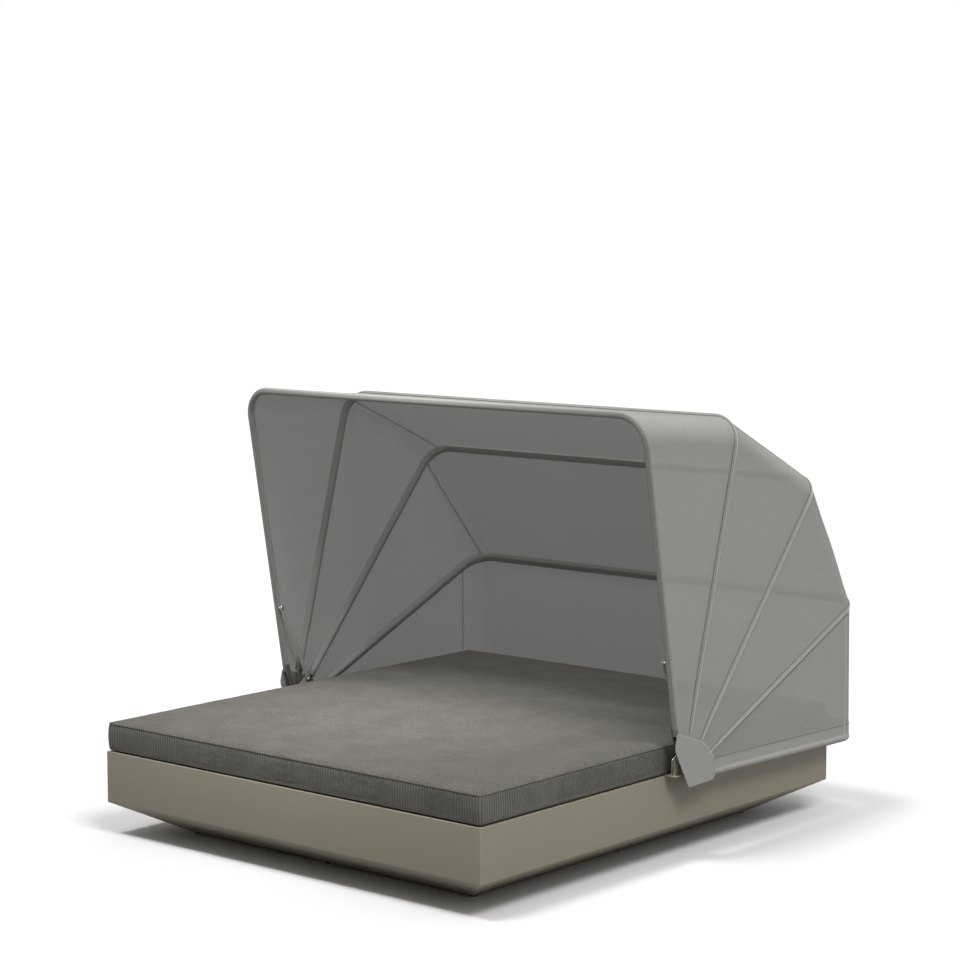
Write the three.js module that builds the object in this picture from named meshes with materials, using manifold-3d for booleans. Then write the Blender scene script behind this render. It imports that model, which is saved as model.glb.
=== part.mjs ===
// An outdoor daybed with a folding canopy, in millimetres, +Z up.
// The origin is on the floor under the middle of the base. The canopy stands at the +Y end, the head,
// and opens towards -Y. Its five bows turn about two hub pins that lie on one line along X.
import * as THREE from "three";
import { mergeVertices } from "three/addons/utils/BufferGeometryUtils.js";
import Module from "manifold-3d";

const wasm = await Module();
wasm.setup();

// Clearances and overruns that the whole part shares
const seatGap = 0.3;
const boltPlay = 0.3;
const overrun = 4;
const weldReach = 1e-3;
const roundSides = 12;
const boreSides = 8;
const degree = Math.PI / 180;

// Base tub
const baseWidth = 1800;
const baseDepth = 2030;
const tubTop = 312;
const tubWall = 8;
const undersideZ = 5;
const wallFootZ = 122;
const undersideInset = 218;
const bellyRound = 15;
const lipEdge = 3;
const lipWidth = 50;
const ledgeWidth = 30;
const cornerEdge = 3;

// Deck, its frame and the glides
const deckThickness = 17.7;
const deckProud = 6;
const deckPlay = 2;
const battenWidth = 60;
const battenX = 300;
const battenEndPlay = 4;
const beamSize = 40;
const beamWall = 2.5;
const beamEndPlay = 1;
const glideRadius = 18;
const glideEdge = 1.5;
const glideRimInset = 20;
const stemRadius = 4;
const stemReach = 17;
const nutRadius = 8;
const nutHeight = 6;
const postRadius = 12;
const postWall = 2;
const postFoot = 6;

// Mattress
const mattressHeight = 100;
const mattressInset = 5;
const mattressCorner = 18;
const crownHeight = 10;
const edgeSoftness = 16;
const drawnIn = 4;
const coverWall = 7;
const coreTopGap = 7;
const coreBottomGap = 3;
const zipLength = 1400;
const zipWidth = 6;
const zipThickness = 2.2;

// Canopy bows: the legs point to one line beside the hub, the fan line
const fanZ = 301;
const legStandoff = 52;
const tubeRadius = 10;
const tubeWall = 2;
const bowCorner = 105;
const tubeStart = 170;
const lugThickness = 4;
const lugGap = 0.5;
const lugOverlap = 25;
const bowNames = ["front_bow", "second_bow", "third_bow", "fourth_bow", "bottom_bow"];
const bowAngles = [100, 75, 49.5, 24.2, -1];
const bottomBowGap = 123;
const bowReachGains = [169, 150, 164, 97, 0];

// Hub: bracket, cheek, pin and bottom bow's stay
const hubY = 20;
const hubZ = 327;
const pinRadius = 6;
const pinHeadRadius = 10;
const pinHeadHeight = 4;
const pinCapHeight = 1.9;
const pinCapRadius = 9;
const bracketStandoff = 32;
const bracketThickness = 4;
const bracketFront = -15;
const bracketShoulder = 380;
const bracketLobe = 14;
const footThickness = 3.5;
const footEdgeInset = 2;
const footFront = -24;
const footBack = 80;
const footOverhang = 12;
const footCorner = 12;
const footBoltRadius = 3;
const footBoltHead = 6;
const footBoltHeadHeight = 1.5;
const cheekStandoff = 22;
const cheekThickness = 3;
const cheekTop = 379;
const cheekBack = 60;
const cheekChamfer = 12;
const stayY = 95;
const stayZ = 300;
const stayTabEdge = 6;

// Braces
const braceReach = 431;
const braceFootY = 71.5;
const braceFootZ = 420;
const braceStandoff = 27;
const braceThickness = 3;
const braceWidth = 20;
const braceHoleRadius = 2.5;
const braceHolePitch = 36;
const braceHoles = 6;
const braceFirstHole = 62;
const braceBoltRadius = 4;
const braceHeadRadius = 9;
const braceHeadHeight = 5;
const braceHeadRim = 0.8;
const braceCollarRadius = 7;
const braceTipGap = 0.5;

// Canopy cloth and patches
const clothOffset = 1.6;
const clothThickness = 1.5;
const clothStart = 60;
const sleevePlay = 5;
const clothSeam = 0.3;
const roofSag = 7;
const roofRows = 5;
const patchPlay = 0.3;
const patchThickness = 1.5;
const patchSize = 240;
const patchCornerShares = [
  [0.045, -0.235],
  [-0.305, 0.367],
  [-0.246, 0.62],
  [0.41, 0.39],
  [0.675, 0.14],
  [0.7, -0.217],
];

const halfWidth = baseWidth / 2;
const halfDepth = baseDepth / 2;
const legX = halfWidth + legStandoff;
const bracketX = halfWidth + bracketStandoff;
const cheekX = halfWidth + cheekStandoff;
const braceX = halfWidth + braceStandoff;
const bottomBowReach = halfDepth + bottomBowGap;
const bowReaches = bowReachGains.map((gain) => bottomBowReach + gain);
const stackOutside = legX + tubeRadius;
const lugPitch = lugThickness + lugGap;

const taupe = new THREE.MeshStandardMaterial({ color: 0x85796a, roughness: 0.75, metalness: 0 });
const boardGrey = new THREE.MeshStandardMaterial({ color: 0x3a3835, roughness: 0.7, metalness: 0 });
const frameMetal = new THREE.MeshStandardMaterial({ color: 0xa8aaab, roughness: 0.45, metalness: 1 });
const glideBlack = new THREE.MeshStandardMaterial({ color: 0x191919, roughness: 0.8, metalness: 0 });
const coverCloth = new THREE.MeshStandardMaterial({ color: 0x6f6c67, roughness: 0.95, metalness: 0 });
const foam = new THREE.MeshStandardMaterial({ color: 0xd8d2c0, roughness: 1, metalness: 0 });
const bowPaint = new THREE.MeshStandardMaterial({ color: 0x56564f, roughness: 0.5, metalness: 0.6 });
const bracketPaint = new THREE.MeshStandardMaterial({ color: 0x8f8676, roughness: 0.6, metalness: 0.4 });
const stainless = new THREE.MeshStandardMaterial({ color: 0xc4c5c6, roughness: 0.2, metalness: 1 });
const canopyCloth = new THREE.MeshStandardMaterial({ color: 0x8a8a85, roughness: 0.95, metalness: 0 });
const patchCloth = new THREE.MeshStandardMaterial({ color: 0x92928d, roughness: 0.95, metalness: 0 });

const daybed = new THREE.Group();
const bySide = { right: new THREE.Group(), left: new THREE.Group() };
bySide.left.scale.x = -1;
daybed.add(bySide.right, bySide.left);

// Adds one named piece to the daybed, or to one of its sides.
function piece(name, geometry, material, parent = daybed) {
  const mesh = new THREE.Mesh(geometry, material);
  mesh.name = name;
  parent.add(mesh);
}

// Adds the same piece on both sides, the left one mirrored.
function pairOf(name, geometry, material) {
  for (const side of ["right", "left"]) piece(`${name}_${side}`, geometry, material, bySide[side]);
}

// A closed geometry as a solid that can be joined and cut.
function solidOf(geometry) {
  const bare = geometry.clone();
  bare.deleteAttribute("normal");
  bare.deleteAttribute("uv");
  const merged = mergeVertices(bare, weldReach);
  return new wasm.Manifold(
    new wasm.Mesh({
      numProp: 3,
      vertProperties: merged.attributes.position.array,
      triVerts: new Uint32Array(merged.index.array),
    }),
  );
}

// A solid back as a geometry.
function geometryOf(solid) {
  const mesh = solid.getMesh();
  const geometry = new THREE.BufferGeometry();
  geometry.setAttribute("position", new THREE.BufferAttribute(new Float32Array(mesh.vertProperties), 3));
  geometry.setIndex(new THREE.BufferAttribute(new Uint32Array(mesh.triVerts), 1));
  return geometry;
}

function joined(...geometries) {
  return geometryOf(geometries.map(solidOf).reduce((all, next) => all.add(next)));
}

function cut(geometry, ...tools) {
  return geometryOf(tools.map(solidOf).reduce((rest, tool) => rest.subtract(tool), solidOf(geometry)));
}

// The mirror image in the plane between the left and right sides.
function mirrored(geometry) {
  const copy = mergeVertices(geometry.clone(), weldReach);
  copy.applyMatrix4(new THREE.Matrix4().makeScale(-1, 1, 1));
  const order = copy.index.array;
  for (let i = 0; i < order.length; i += 3) [order[i + 1], order[i + 2]] = [order[i + 2], order[i + 1]];
  return copy;
}

// A round piece along Z from [radius, height] points, from the bottom up.
function turned(points, sides = roundSides) {
  const profile = points.map(([radius, height]) => new THREE.Vector2(radius, height));
  return new THREE.LatheGeometry(profile, sides).rotateX(Math.PI / 2);
}

// A round piece along X at a place in the side view, from [radius, x] points.
function turnedAcross(points, y, z, sides = roundSides) {
  return turned(points, sides).rotateY(Math.PI / 2).translate(0, y, z);
}

// The points of a solid cylinder's profile.
function rod(radius, from, to) {
  return [
    [0, from],
    [radius, from],
    [radius, to],
    [0, to],
  ];
}

// The points of a sleeve's closed profile.
function sleeve(inner, outer, from, to) {
  return [
    [inner, from],
    [outer, from],
    [outer, to],
    [inner, to],
    [inner, from],
  ];
}

function block(fromX, toX, fromY, toY, fromZ, toZ) {
  const box = new THREE.BoxGeometry(toX - fromX, toY - fromY, toZ - fromZ);
  return box.translate((fromX + toX) / 2, (fromY + toY) / 2, (fromZ + toZ) / 2);
}

// Corners of a regular polygon, for round outlines and holes.
function ringOf(radius, sides, x = 0, y = 0) {
  return Array.from({ length: sides }, (_, i) => {
    const turn = ((i + 0.5) / sides) * 2 * Math.PI;
    return new THREE.Vector2(x + radius * Math.cos(turn), y + radius * Math.sin(turn));
  });
}

function extrusion(shape, depth) {
  return new THREE.ExtrudeGeometry(shape, { depth, bevelEnabled: false, curveSegments: 4 });
}

// Turns an outline drawn in (y, z) and thickened along its own z into a plate that faces X.
function standing(geometry, x) {
  const facing = new THREE.Matrix4().makeBasis(
    new THREE.Vector3(0, 1, 0),
    new THREE.Vector3(0, 0, 1),
    new THREE.Vector3(1, 0, 0),
  );
  return geometry.applyMatrix4(facing).translate(x, 0, 0);
}

// A closed skin through rings of equal length, with a flat end at each of the two last rings.
function loft(rings) {
  const count = rings[0].length;
  const places = rings.flat();
  const order = [];
  for (let ring = 0; ring + 1 < rings.length; ring += 1) {
    for (let i = 0; i < count; i += 1) {
      const a = ring * count + i;
      const b = ring * count + ((i + 1) % count);
      order.push(a, b, b + count, a, b + count, a + count);
    }
  }
  for (const [ring, flip] of [[0, true], [rings.length - 1, false]]) {
    const middle = places.length;
    const centre = new THREE.Vector3();
    for (const p of rings[ring]) centre.addScaledVector(p, 1 / count);
    places.push(centre);
    for (let i = 0; i < count; i += 1) {
      const a = ring * count + i;
      const b = ring * count + ((i + 1) % count);
      order.push(...(flip ? [middle, b, a] : [middle, a, b]));
    }
  }
  const geometry = new THREE.BufferGeometry().setFromPoints(places);
  geometry.setIndex(order);
  return geometry;
}

// Base tub
// One moulded shell: a profile of [inset from the outer wall, height] points carried round a rectangle.
function tubRing([inset, z]) {
  const x = halfWidth - inset;
  const y = halfDepth - inset;
  const c = cornerEdge;
  const corners = [
    [x, -y + c], [x, y - c], [x - c, y], [-x + c, y],
    [-x, y - c], [-x, -y + c], [-x + c, -y], [x - c, -y],
  ];
  return corners.map(([px, py]) => new THREE.Vector3(px, py, z));
}

const taperRise = wallFootZ - undersideZ;
const taperLength = Math.hypot(taperRise, undersideInset);
const innerFootInset = undersideInset + tubWall * ((taperLength - undersideInset) / taperRise);
const innerWallFootZ = undersideZ + tubWall + ((innerFootInset - tubWall) * taperRise) / undersideInset;
const belly = new THREE.QuadraticBezierCurve(
  new THREE.Vector2(
    (bellyRound * undersideInset) / taperLength,
    wallFootZ - (bellyRound * taperRise) / taperLength,
  ),
  new THREE.Vector2(0, wallFootZ),
  new THREE.Vector2(0, wallFootZ + bellyRound),
);
const lipUnderZ = tubTop - tubWall;
const ledgeTopZ = tubTop + deckProud - deckThickness - seatGap;
const ledgeUnderZ = ledgeTopZ - tubWall;
const tubProfile = [
  [undersideInset, undersideZ],
  ...belly.getPoints(4).map((p) => [p.x, p.y]),
  [0, tubTop - lipEdge],
  [lipEdge, tubTop],
  [lipWidth, tubTop],
  [lipWidth, ledgeTopZ],
  [lipWidth + ledgeWidth, ledgeTopZ],
  [lipWidth + ledgeWidth, ledgeUnderZ],
  [lipWidth - tubWall, ledgeUnderZ],
  [lipWidth - tubWall, lipUnderZ],
  [tubWall, lipUnderZ],
  [tubWall, innerWallFootZ],
  [innerFootInset, undersideZ + tubWall],
];
const footX = halfWidth - undersideInset;
const footY = halfDepth - undersideInset;
const glideX = footX - glideRimInset;
const glideY = footY - glideRimInset;
const cornerGlides = [
  [glideX, -glideY],
  [glideX, glideY],
  [-glideX, glideY],
  [-glideX, -glideY],
];
const sideGlides = [
  [0, -glideY],
  [glideX, 0],
  [0, glideY],
  [-glideX, 0],
];
const tubFloorZ = undersideZ + tubWall;
const footBoltX = halfWidth - lipWidth / 2;
const footBoltYs = [footFront + footBoltHead + footEdgeInset, footBack - footBoltHead - footEdgeInset];

function tubHole([x, y]) {
  const hole = rod(stemRadius + boltPlay, undersideZ - overrun, tubFloorZ + overrun);
  return turned(hole).translate(x, y, 0);
}

function footBoltHole(x, y, fromZ, toZ) {
  return turned(rod(footBoltRadius + boltPlay, fromZ, toZ)).translate(x, y, 0);
}

function lipHoles() {
  const holes = footBoltYs.map((y) => footBoltHole(footBoltX, y, lipUnderZ - overrun, tubTop + overrun));
  return [...holes, ...holes.map(mirrored)];
}

piece(
  "base_tub",
  cut(
    loft(tubProfile.map(tubRing)),
    ...[[0, 0], ...cornerGlides, ...sideGlides].map(tubHole),
    ...lipHoles(),
  ),
  taupe,
);

// Glides: a disc under the tub on a threaded stem. The corner and centre stems screw into the posts.
const glideTop = undersideZ - seatGap;
const glideDisc = [
  [0, 0],
  [glideRadius - glideEdge, 0],
  [glideRadius, glideEdge],
  [glideRadius, glideTop],
  [stemRadius, glideTop],
];
const postStem = [
  ...glideDisc,
  [stemRadius, tubFloorZ + stemReach],
  [0, tubFloorZ + stemReach],
];
const nutFoot = tubFloorZ + seatGap;
const nutStem = [
  ...glideDisc,
  [stemRadius, nutFoot],
  [nutRadius, nutFoot],
  [nutRadius, nutFoot + nutHeight],
  [0, nutFoot + nutHeight],
];
const beamTop = ledgeUnderZ - seatGap;
const postTop = beamTop - beamSize - seatGap;
const post = [
  [stemRadius + boltPlay, nutFoot],
  [postRadius, nutFoot],
  [postRadius, postTop],
  [postRadius - postWall, postTop],
  [postRadius - postWall, nutFoot + postFoot],
  [stemRadius + boltPlay, nutFoot + postFoot],
  [stemRadius + boltPlay, nutFoot],
];
const cornerNames = ["front_right", "back_right", "back_left", "front_left"];
const sideNames = ["front", "right", "back", "left"];
piece("glide_centre", turned(postStem), glideBlack);
piece("post_centre", turned(post), frameMetal);
cornerGlides.forEach(([x, y], i) => {
  piece(`glide_${cornerNames[i]}`, turned(postStem).translate(x, y, 0), glideBlack);
  piece(`post_${cornerNames[i]}`, turned(post).translate(x, y, 0), frameMetal);
});
sideGlides.forEach(([x, y], i) => {
  piece(`glide_${sideNames[i]}`, turned(nutStem).translate(x, y, 0), glideBlack);
});

// Cross beams: square tube on the posts, with its ends under the tub's ledge
const beamHalf = halfWidth - (lipWidth - tubWall) - beamEndPlay;
const beamOutline = new THREE.Shape([
  new THREE.Vector2(-beamSize / 2, beamTop - beamSize),
  new THREE.Vector2(beamSize / 2, beamTop - beamSize),
  new THREE.Vector2(beamSize / 2, beamTop),
  new THREE.Vector2(-beamSize / 2, beamTop),
]);
const beamBore = beamSize / 2 - beamWall;
beamOutline.holes.push(
  new THREE.Path([
    new THREE.Vector2(-beamBore, beamTop - beamSize + beamWall),
    new THREE.Vector2(-beamBore, beamTop - beamWall),
    new THREE.Vector2(beamBore, beamTop - beamWall),
    new THREE.Vector2(beamBore, beamTop - beamSize + beamWall),
  ]),
);
for (const [name, y] of [["front", -glideY], ["middle", 0], ["back", glideY]]) {
  const beam = standing(extrusion(beamOutline, 2 * beamHalf), -beamHalf).translate(0, y, 0);
  piece(`cross_beam_${name}`, beam, frameMetal);
}

// Deck battens and board: the battens lie on the beams, and the board on them and on the ledge
const ledgeInset = lipWidth + ledgeWidth;
const battenHalf = halfDepth - ledgeInset - battenEndPlay;
pairOf(
  "deck_batten",
  block(
    battenX - battenWidth / 2,
    battenX + battenWidth / 2,
    -battenHalf,
    battenHalf,
    beamTop + seatGap,
    ledgeTopZ,
  ),
  frameMetal,
);
const deckX = halfWidth - lipWidth - deckPlay;
const deckY = halfDepth - lipWidth - deckPlay;
const deckTop = tubTop + deckProud;
piece("deck_board", block(-deckX, deckX, -deckY, deckY, deckTop - deckThickness, deckTop), boardGrey);

// Mattress cover
// Rings from the bottom up: shares of the edge's softness, of the height and of the drawn-in sides.
const mattressX = halfWidth - mattressInset;
const mattressY = halfDepth - mattressInset;
const mattressBottom = deckTop + seatGap;
const edgeRingShares = [
  [0.88, 0, 0],
  [0.31, 0.025, 0.4],
  [0.06, 0.09, 0.8],
  [0, 0.5, 1],
  [0.03, 0.88, 0.7],
  [0.19, 0.97, 0.4],
  [0.44, 1.01, 0.3],
  [1, 1.025, 0.2],
];
const coverRings = edgeRingShares.map(([inset, height, drawn]) => {
  return [inset * edgeSoftness, height * mattressHeight, drawn * drawnIn];
});
// The crown: shares of the half width for the rings' inset, and of the crown's rise for their height.
const crownRingShares = [
  [0.07, 0.45],
  [0.22, 0.75],
  [0.56, 0.95],
  [0.98, 1],
];
const edgeTop = coverRings[coverRings.length - 1][1];
for (const [inset, rise] of crownRingShares) {
  coverRings.push([inset * mattressX, edgeTop + (mattressHeight + crownHeight - edgeTop) * rise, 0]);
}

// One ring of the cover: rounded corners, and long sides that pull in between them.
function coverRing([inset, height, drawn]) {
  const x = mattressX - inset;
  const y = mattressY - inset;
  const r = Math.min(mattressCorner, x / 2);
  const places = [];
  const sides = [
    [x, -y + r, 0, 2 * (y - r), 0],
    [x - r, y, -2 * (x - r), 0, 1],
    [-x, y - r, 0, -2 * (y - r), 2],
    [-x + r, -y, 2 * (x - r), 0, 3],
  ];
  for (const [startX, startY, runX, runY, quarter] of sides) {
    const facing = (quarter * Math.PI) / 2;
    for (let i = 0; i <= 6; i += 1) {
      const along = i / 6;
      const pull = drawn * Math.sin(Math.PI * along);
      places.push(
        new THREE.Vector3(
          startX + runX * along - pull * Math.cos(facing),
          startY + runY * along - pull * Math.sin(facing),
          mattressBottom + height,
        ),
      );
    }
    for (let i = 1; i <= 2; i += 1) {
      const turn = facing + (i / 3) * (Math.PI / 2);
      const middle = [
        [x - r, y - r],
        [-x + r, y - r],
        [-x + r, -y + r],
        [x - r, -y + r],
      ][quarter];
      places.push(
        new THREE.Vector3(
          middle[0] + r * Math.cos(turn),
          middle[1] + r * Math.sin(turn),
          mattressBottom + height,
        ),
      );
    }
  }
  return places;
}

const coreX = mattressX - coverWall;
const coreY = mattressY - coverWall;
const coreBottom = mattressBottom + coreBottomGap;
const coreTop = mattressBottom + mattressHeight - coreTopGap;
const zipZ = mattressBottom + mattressHeight / 2;
piece(
  "mattress_cover",
  cut(
    loft(coverRings.map(coverRing)),
    block(
      -coreX - seatGap,
      coreX + seatGap,
      -coreY - seatGap,
      coreY + seatGap,
      coreBottom - seatGap,
      coreTop + seatGap,
    ),
    block(
      -zipLength / 2,
      zipLength / 2,
      coreY,
      mattressY + overrun,
      zipZ - zipWidth / 2,
      zipZ + zipWidth / 2,
    ),
  ),
  coverCloth,
);
piece("mattress_core", block(-coreX, coreX, -coreY, coreY, coreBottom, coreTop), foam);
piece(
  "mattress_zip",
  block(
    -zipLength / 2 + seatGap,
    zipLength / 2 - seatGap,
    coreY + 2 * seatGap,
    coreY + 2 * seatGap + zipThickness,
    zipZ - zipWidth / 2 + seatGap,
    zipZ + zipWidth / 2 - seatGap,
  ),
  glideBlack,
);

// Canopy bows
// The centre line of a bow: leg, corner, bar, corner and leg, in the plane that its angle gives.
class BowLine extends THREE.Curve {
  constructor(reach, angle) {
    super();
    this.reach = reach;
    this.out = new THREE.Vector3(0, Math.cos(angle), Math.sin(angle));
  }

  // Place and outward direction at a station from -1, the left end, to 1, the right end.
  at(station, offset = 0) {
    const side = station < 0 ? -1 : 1;
    const share = Math.abs(station);
    const middleX = legX - bowCorner;
    const middleR = this.reach - bowCorner;
    let x = legX + offset;
    let r = middleR;
    let turn = 0;
    if (share > cornerEndShare) {
      r = tubeStart + ((middleR - tubeStart) * (1 - share)) / (1 - cornerEndShare);
    } else if (share > cornerStartShare) {
      turn = ((cornerEndShare - share) / (cornerEndShare - cornerStartShare)) * (Math.PI / 2);
      x = middleX + (bowCorner + offset) * Math.cos(turn);
      r = middleR + (bowCorner + offset) * Math.sin(turn);
    } else {
      turn = Math.PI / 2;
      x = (middleX * share) / cornerStartShare;
      r = middleR + bowCorner + offset;
    }
    return {
      place: fanPoint(side * x, r, this.out),
      outward: new THREE.Vector3(side * Math.cos(turn), 0, 0).addScaledVector(this.out, Math.sin(turn)),
    };
  }

  getPoint(t) {
    return this.at(2 * t - 1).place;
  }

  getPointAt(t) {
    return this.getPoint(t);
  }

  getTangentAt(t) {
    const outward = this.at(2 * t - 1).outward;
    return new THREE.Vector3(1, 0, 0)
      .multiplyScalar(outward.dot(this.out))
      .addScaledVector(this.out, -outward.x);
  }
}

const cornerSteps = 6;
const bowSteps = 2 * (cornerSteps + 2);
const cornerStartShare = 2 / bowSteps;
const cornerEndShare = (2 + 2 * cornerSteps) / bowSteps;

// A point at a distance from the fan line, at a place across the daybed.
function fanPoint(x, distance, direction) {
  return new THREE.Vector3(x, 0, fanZ).addScaledVector(direction, distance);
}

// The flat lug of a bow: round the hub pin, then on to the tube and along it.
function lugOutline(direction) {
  const hub = new THREE.Vector2(hubY, hubZ);
  const way = new THREE.Vector2(direction.y, direction.z);
  const start = new THREE.Vector2(0, fanZ).addScaledVector(way, tubeStart);
  const end = start.clone().addScaledVector(way, lugOverlap);
  const first = start.clone().sub(hub).normalize();
  const across = (v) => new THREE.Vector2(-v.y, v.x);
  const bend = first.clone().add(way).normalize();
  const half = tubeRadius;
  const points = [];
  const roundStart = Math.atan2(first.y, first.x) + Math.PI / 2;
  for (let i = 0; i <= roundSides / 2; i += 1) {
    const turn = roundStart + (i / (roundSides / 2)) * Math.PI;
    points.push(new THREE.Vector2(hub.x + half * Math.cos(turn), hub.y + half * Math.sin(turn)));
  }
  points.push(start.clone().addScaledVector(across(bend), -half));
  points.push(end.clone().addScaledVector(across(way), -half));
  points.push(end.clone().addScaledVector(across(way), half));
  points.push(start.clone().addScaledVector(across(bend), half));
  return points;
}

function lugOf(index, direction) {
  const shape = new THREE.Shape(lugOutline(direction));
  shape.holes.push(new THREE.Path(ringOf(pinRadius + boltPlay, roundSides, hubY, hubZ)));
  const x = stackOutside - lugThickness - lugPitch * (bowNames.length - 1 - index);
  return standing(extrusion(shape, lugThickness), x);
}

const stayTabRadius = braceCollarRadius + stayTabEdge;

// The bottom bow's tab, which hangs from its lug to the stay bolt.
function stayTab() {
  const shape = new THREE.Shape();
  shape.moveTo(stayY + stayTabRadius, stayZ + 2 * tubeRadius);
  shape.lineTo(stayY - stayTabRadius, stayZ + 2 * tubeRadius);
  shape.lineTo(stayY - stayTabRadius, stayZ);
  shape.absarc(stayY, stayZ, stayTabRadius, Math.PI, 2 * Math.PI, false);
  return standing(extrusion(shape, lugThickness), stackOutside - lugThickness);
}

function stayHole(fromX, toX) {
  return turnedAcross(rod(braceBoltRadius + boltPlay, fromX, toX), stayY, stayZ);
}

function frontBoltPlace() {
  const out = new BowLine(bowReaches[0], bowAngles[0] * degree).out;
  return fanPoint(0, braceReach, out);
}

const bows = bowReaches.map((reach, i) => new BowLine(reach, bowAngles[i] * degree));
const tubeSection = new THREE.Shape(ringOf(tubeRadius, roundSides));
tubeSection.holes.push(new THREE.Path(ringOf(tubeRadius - tubeWall, boreSides)));
bows.forEach((bow, i) => {
  const tube = new THREE.ExtrudeGeometry(tubeSection, {
    steps: bowSteps,
    bevelEnabled: false,
    extrudePath: bow,
  });
  const lug = lugOf(i, bow.out);
  let shape = joined(tube, lug, mirrored(lug));
  if (i === 0) {
    const bolt = frontBoltPlace();
    const hole = turnedAcross(
      rod(braceBoltRadius + boltPlay, legX - tubeRadius - overrun, legX),
      bolt.y,
      bolt.z,
    );
    shape = cut(shape, hole, mirrored(hole));
  }
  if (i === bows.length - 1) {
    const tab = stayTab();
    const hole = stayHole(legX, stackOutside + overrun);
    shape = cut(joined(shape, tab, mirrored(tab)), hole, mirrored(hole));
  }
  piece(bowNames[i], shape, bowPaint);
});

// Hub brackets: an upright plate on a foot that is bolted to the tub's lip
const footBottom = tubTop + seatGap;
const footTop = footBottom + footThickness;
const bracketOut = bracketX + bracketThickness;

function uprightPlate() {
  const shape = new THREE.Shape();
  shape.moveTo(bracketFront, footBottom);
  shape.lineTo(bracketFront, bracketShoulder);
  shape.absarc(braceFootY, braceFootZ, bracketLobe, (Math.PI * 2) / 3, 0, true);
  shape.lineTo(stayY + bracketLobe, stayZ);
  shape.absarc(stayY, stayZ, bracketLobe, 0, -Math.PI, true);
  shape.lineTo(stayY - bracketLobe, footBottom);
  shape.holes.push(new THREE.Path(ringOf(pinRadius + boltPlay, roundSides, hubY, hubZ)));
  shape.holes.push(new THREE.Path(ringOf(braceBoltRadius + boltPlay, roundSides, stayY, stayZ)));
  return standing(extrusion(shape, bracketThickness), bracketX);
}

function footPlate() {
  const inner = halfWidth - lipWidth + footEdgeInset;
  const outer = bracketOut + footOverhang;
  const shape = new THREE.Shape();
  shape.moveTo(inner, footFront);
  shape.lineTo(outer - footCorner, footFront);
  shape.absarc(outer - footCorner, footFront + footCorner, footCorner, -Math.PI / 2, 0, false);
  shape.lineTo(outer, footBack - footCorner);
  shape.absarc(outer - footCorner, footBack - footCorner, footCorner, 0, Math.PI / 2, false);
  shape.lineTo(inner, footBack);
  for (const y of footBoltYs) {
    shape.holes.push(new THREE.Path(ringOf(footBoltRadius + boltPlay, roundSides, footBoltX, y)));
  }
  return extrusion(shape, footThickness).translate(0, 0, footBottom);
}

pairOf("hub_bracket", joined(footPlate(), uprightPlate()), bracketPaint);

// Cheek plates: they stand on the foot and carry the inner end of the hub pin
const cheekBottom = footTop + seatGap;
const cheek = new THREE.Shape([
  new THREE.Vector2(bracketFront, cheekBottom),
  new THREE.Vector2(cheekBack, cheekBottom),
  new THREE.Vector2(cheekBack, cheekTop - cheekChamfer),
  new THREE.Vector2(cheekBack - cheekChamfer, cheekTop),
  new THREE.Vector2(bracketFront + cheekChamfer, cheekTop),
  new THREE.Vector2(bracketFront, cheekTop - cheekChamfer),
]);
cheek.holes.push(new THREE.Path(ringOf(pinRadius + boltPlay, roundSides, hubY, hubZ)));
pairOf("hub_cheek", standing(extrusion(cheek, cheekThickness), cheekX), stainless);

// Foot bolts, with their nuts under the tub's lip
const footBolt = [
  [0, lipUnderZ - seatGap - footBoltHead],
  [footBoltHead, lipUnderZ - seatGap - footBoltHead],
  [footBoltHead, lipUnderZ - seatGap],
  [footBoltRadius, lipUnderZ - seatGap],
  [footBoltRadius, footTop + seatGap],
  [footBoltHead, footTop + seatGap],
  [footBoltHead, footTop + seatGap + footBoltHeadHeight],
  [0, footTop + seatGap + footBoltHeadHeight],
];
["front", "back"].forEach((name, i) => {
  pairOf(`foot_bolt_${name}`, turned(footBolt).translate(footBoltX, footBoltYs[i], 0), stainless);
});

// Hub pins with a head inside and a thin cap outside, and what keeps the plates apart on them
const hubPin = [
  [0, cheekX - seatGap - pinHeadHeight],
  [pinHeadRadius, cheekX - seatGap - pinHeadHeight],
  [pinHeadRadius, cheekX - seatGap],
  [pinRadius, cheekX - seatGap],
  [pinRadius, stackOutside + seatGap],
  [pinCapRadius, stackOutside + seatGap],
  [pinCapRadius, stackOutside + seatGap + pinCapHeight],
  [0, stackOutside + seatGap + pinCapHeight],
];
pairOf("hub_pin", turnedAcross(hubPin, hubY, hubZ), stainless);
const sleeveBore = pinRadius + boltPlay;
const innerSleeve = sleeve(
  sleeveBore,
  pinHeadRadius,
  cheekX + cheekThickness + seatGap,
  bracketX - seatGap,
);
pairOf("hub_sleeve", turnedAcross(innerSleeve, hubY, hubZ), stainless);
const firstLugX = stackOutside - lugThickness - lugPitch * (bowNames.length - 1);
const outerWasher = sleeve(sleeveBore, pinHeadRadius, bracketOut + seatGap, firstLugX - seatGap);
pairOf("hub_washer", turnedAcross(outerWasher, hubY, hubZ), stainless);

// Stay bolts, which hold the bottom bow level
const stayBolt = [
  [0, bracketX - seatGap - pinHeadHeight],
  [braceCollarRadius, bracketX - seatGap - pinHeadHeight],
  [braceCollarRadius, bracketX - seatGap],
  [braceBoltRadius, bracketX - seatGap],
  [braceBoltRadius, bracketOut + seatGap],
  [braceCollarRadius, bracketOut + seatGap],
  [braceCollarRadius, stackOutside - lugThickness - seatGap],
  [braceBoltRadius, stackOutside - lugThickness - seatGap],
  [braceBoltRadius, stackOutside],
  [0, stackOutside],
];
pairOf("stay_bolt", turnedAcross(stayBolt, stayY, stayZ), stainless);

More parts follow.
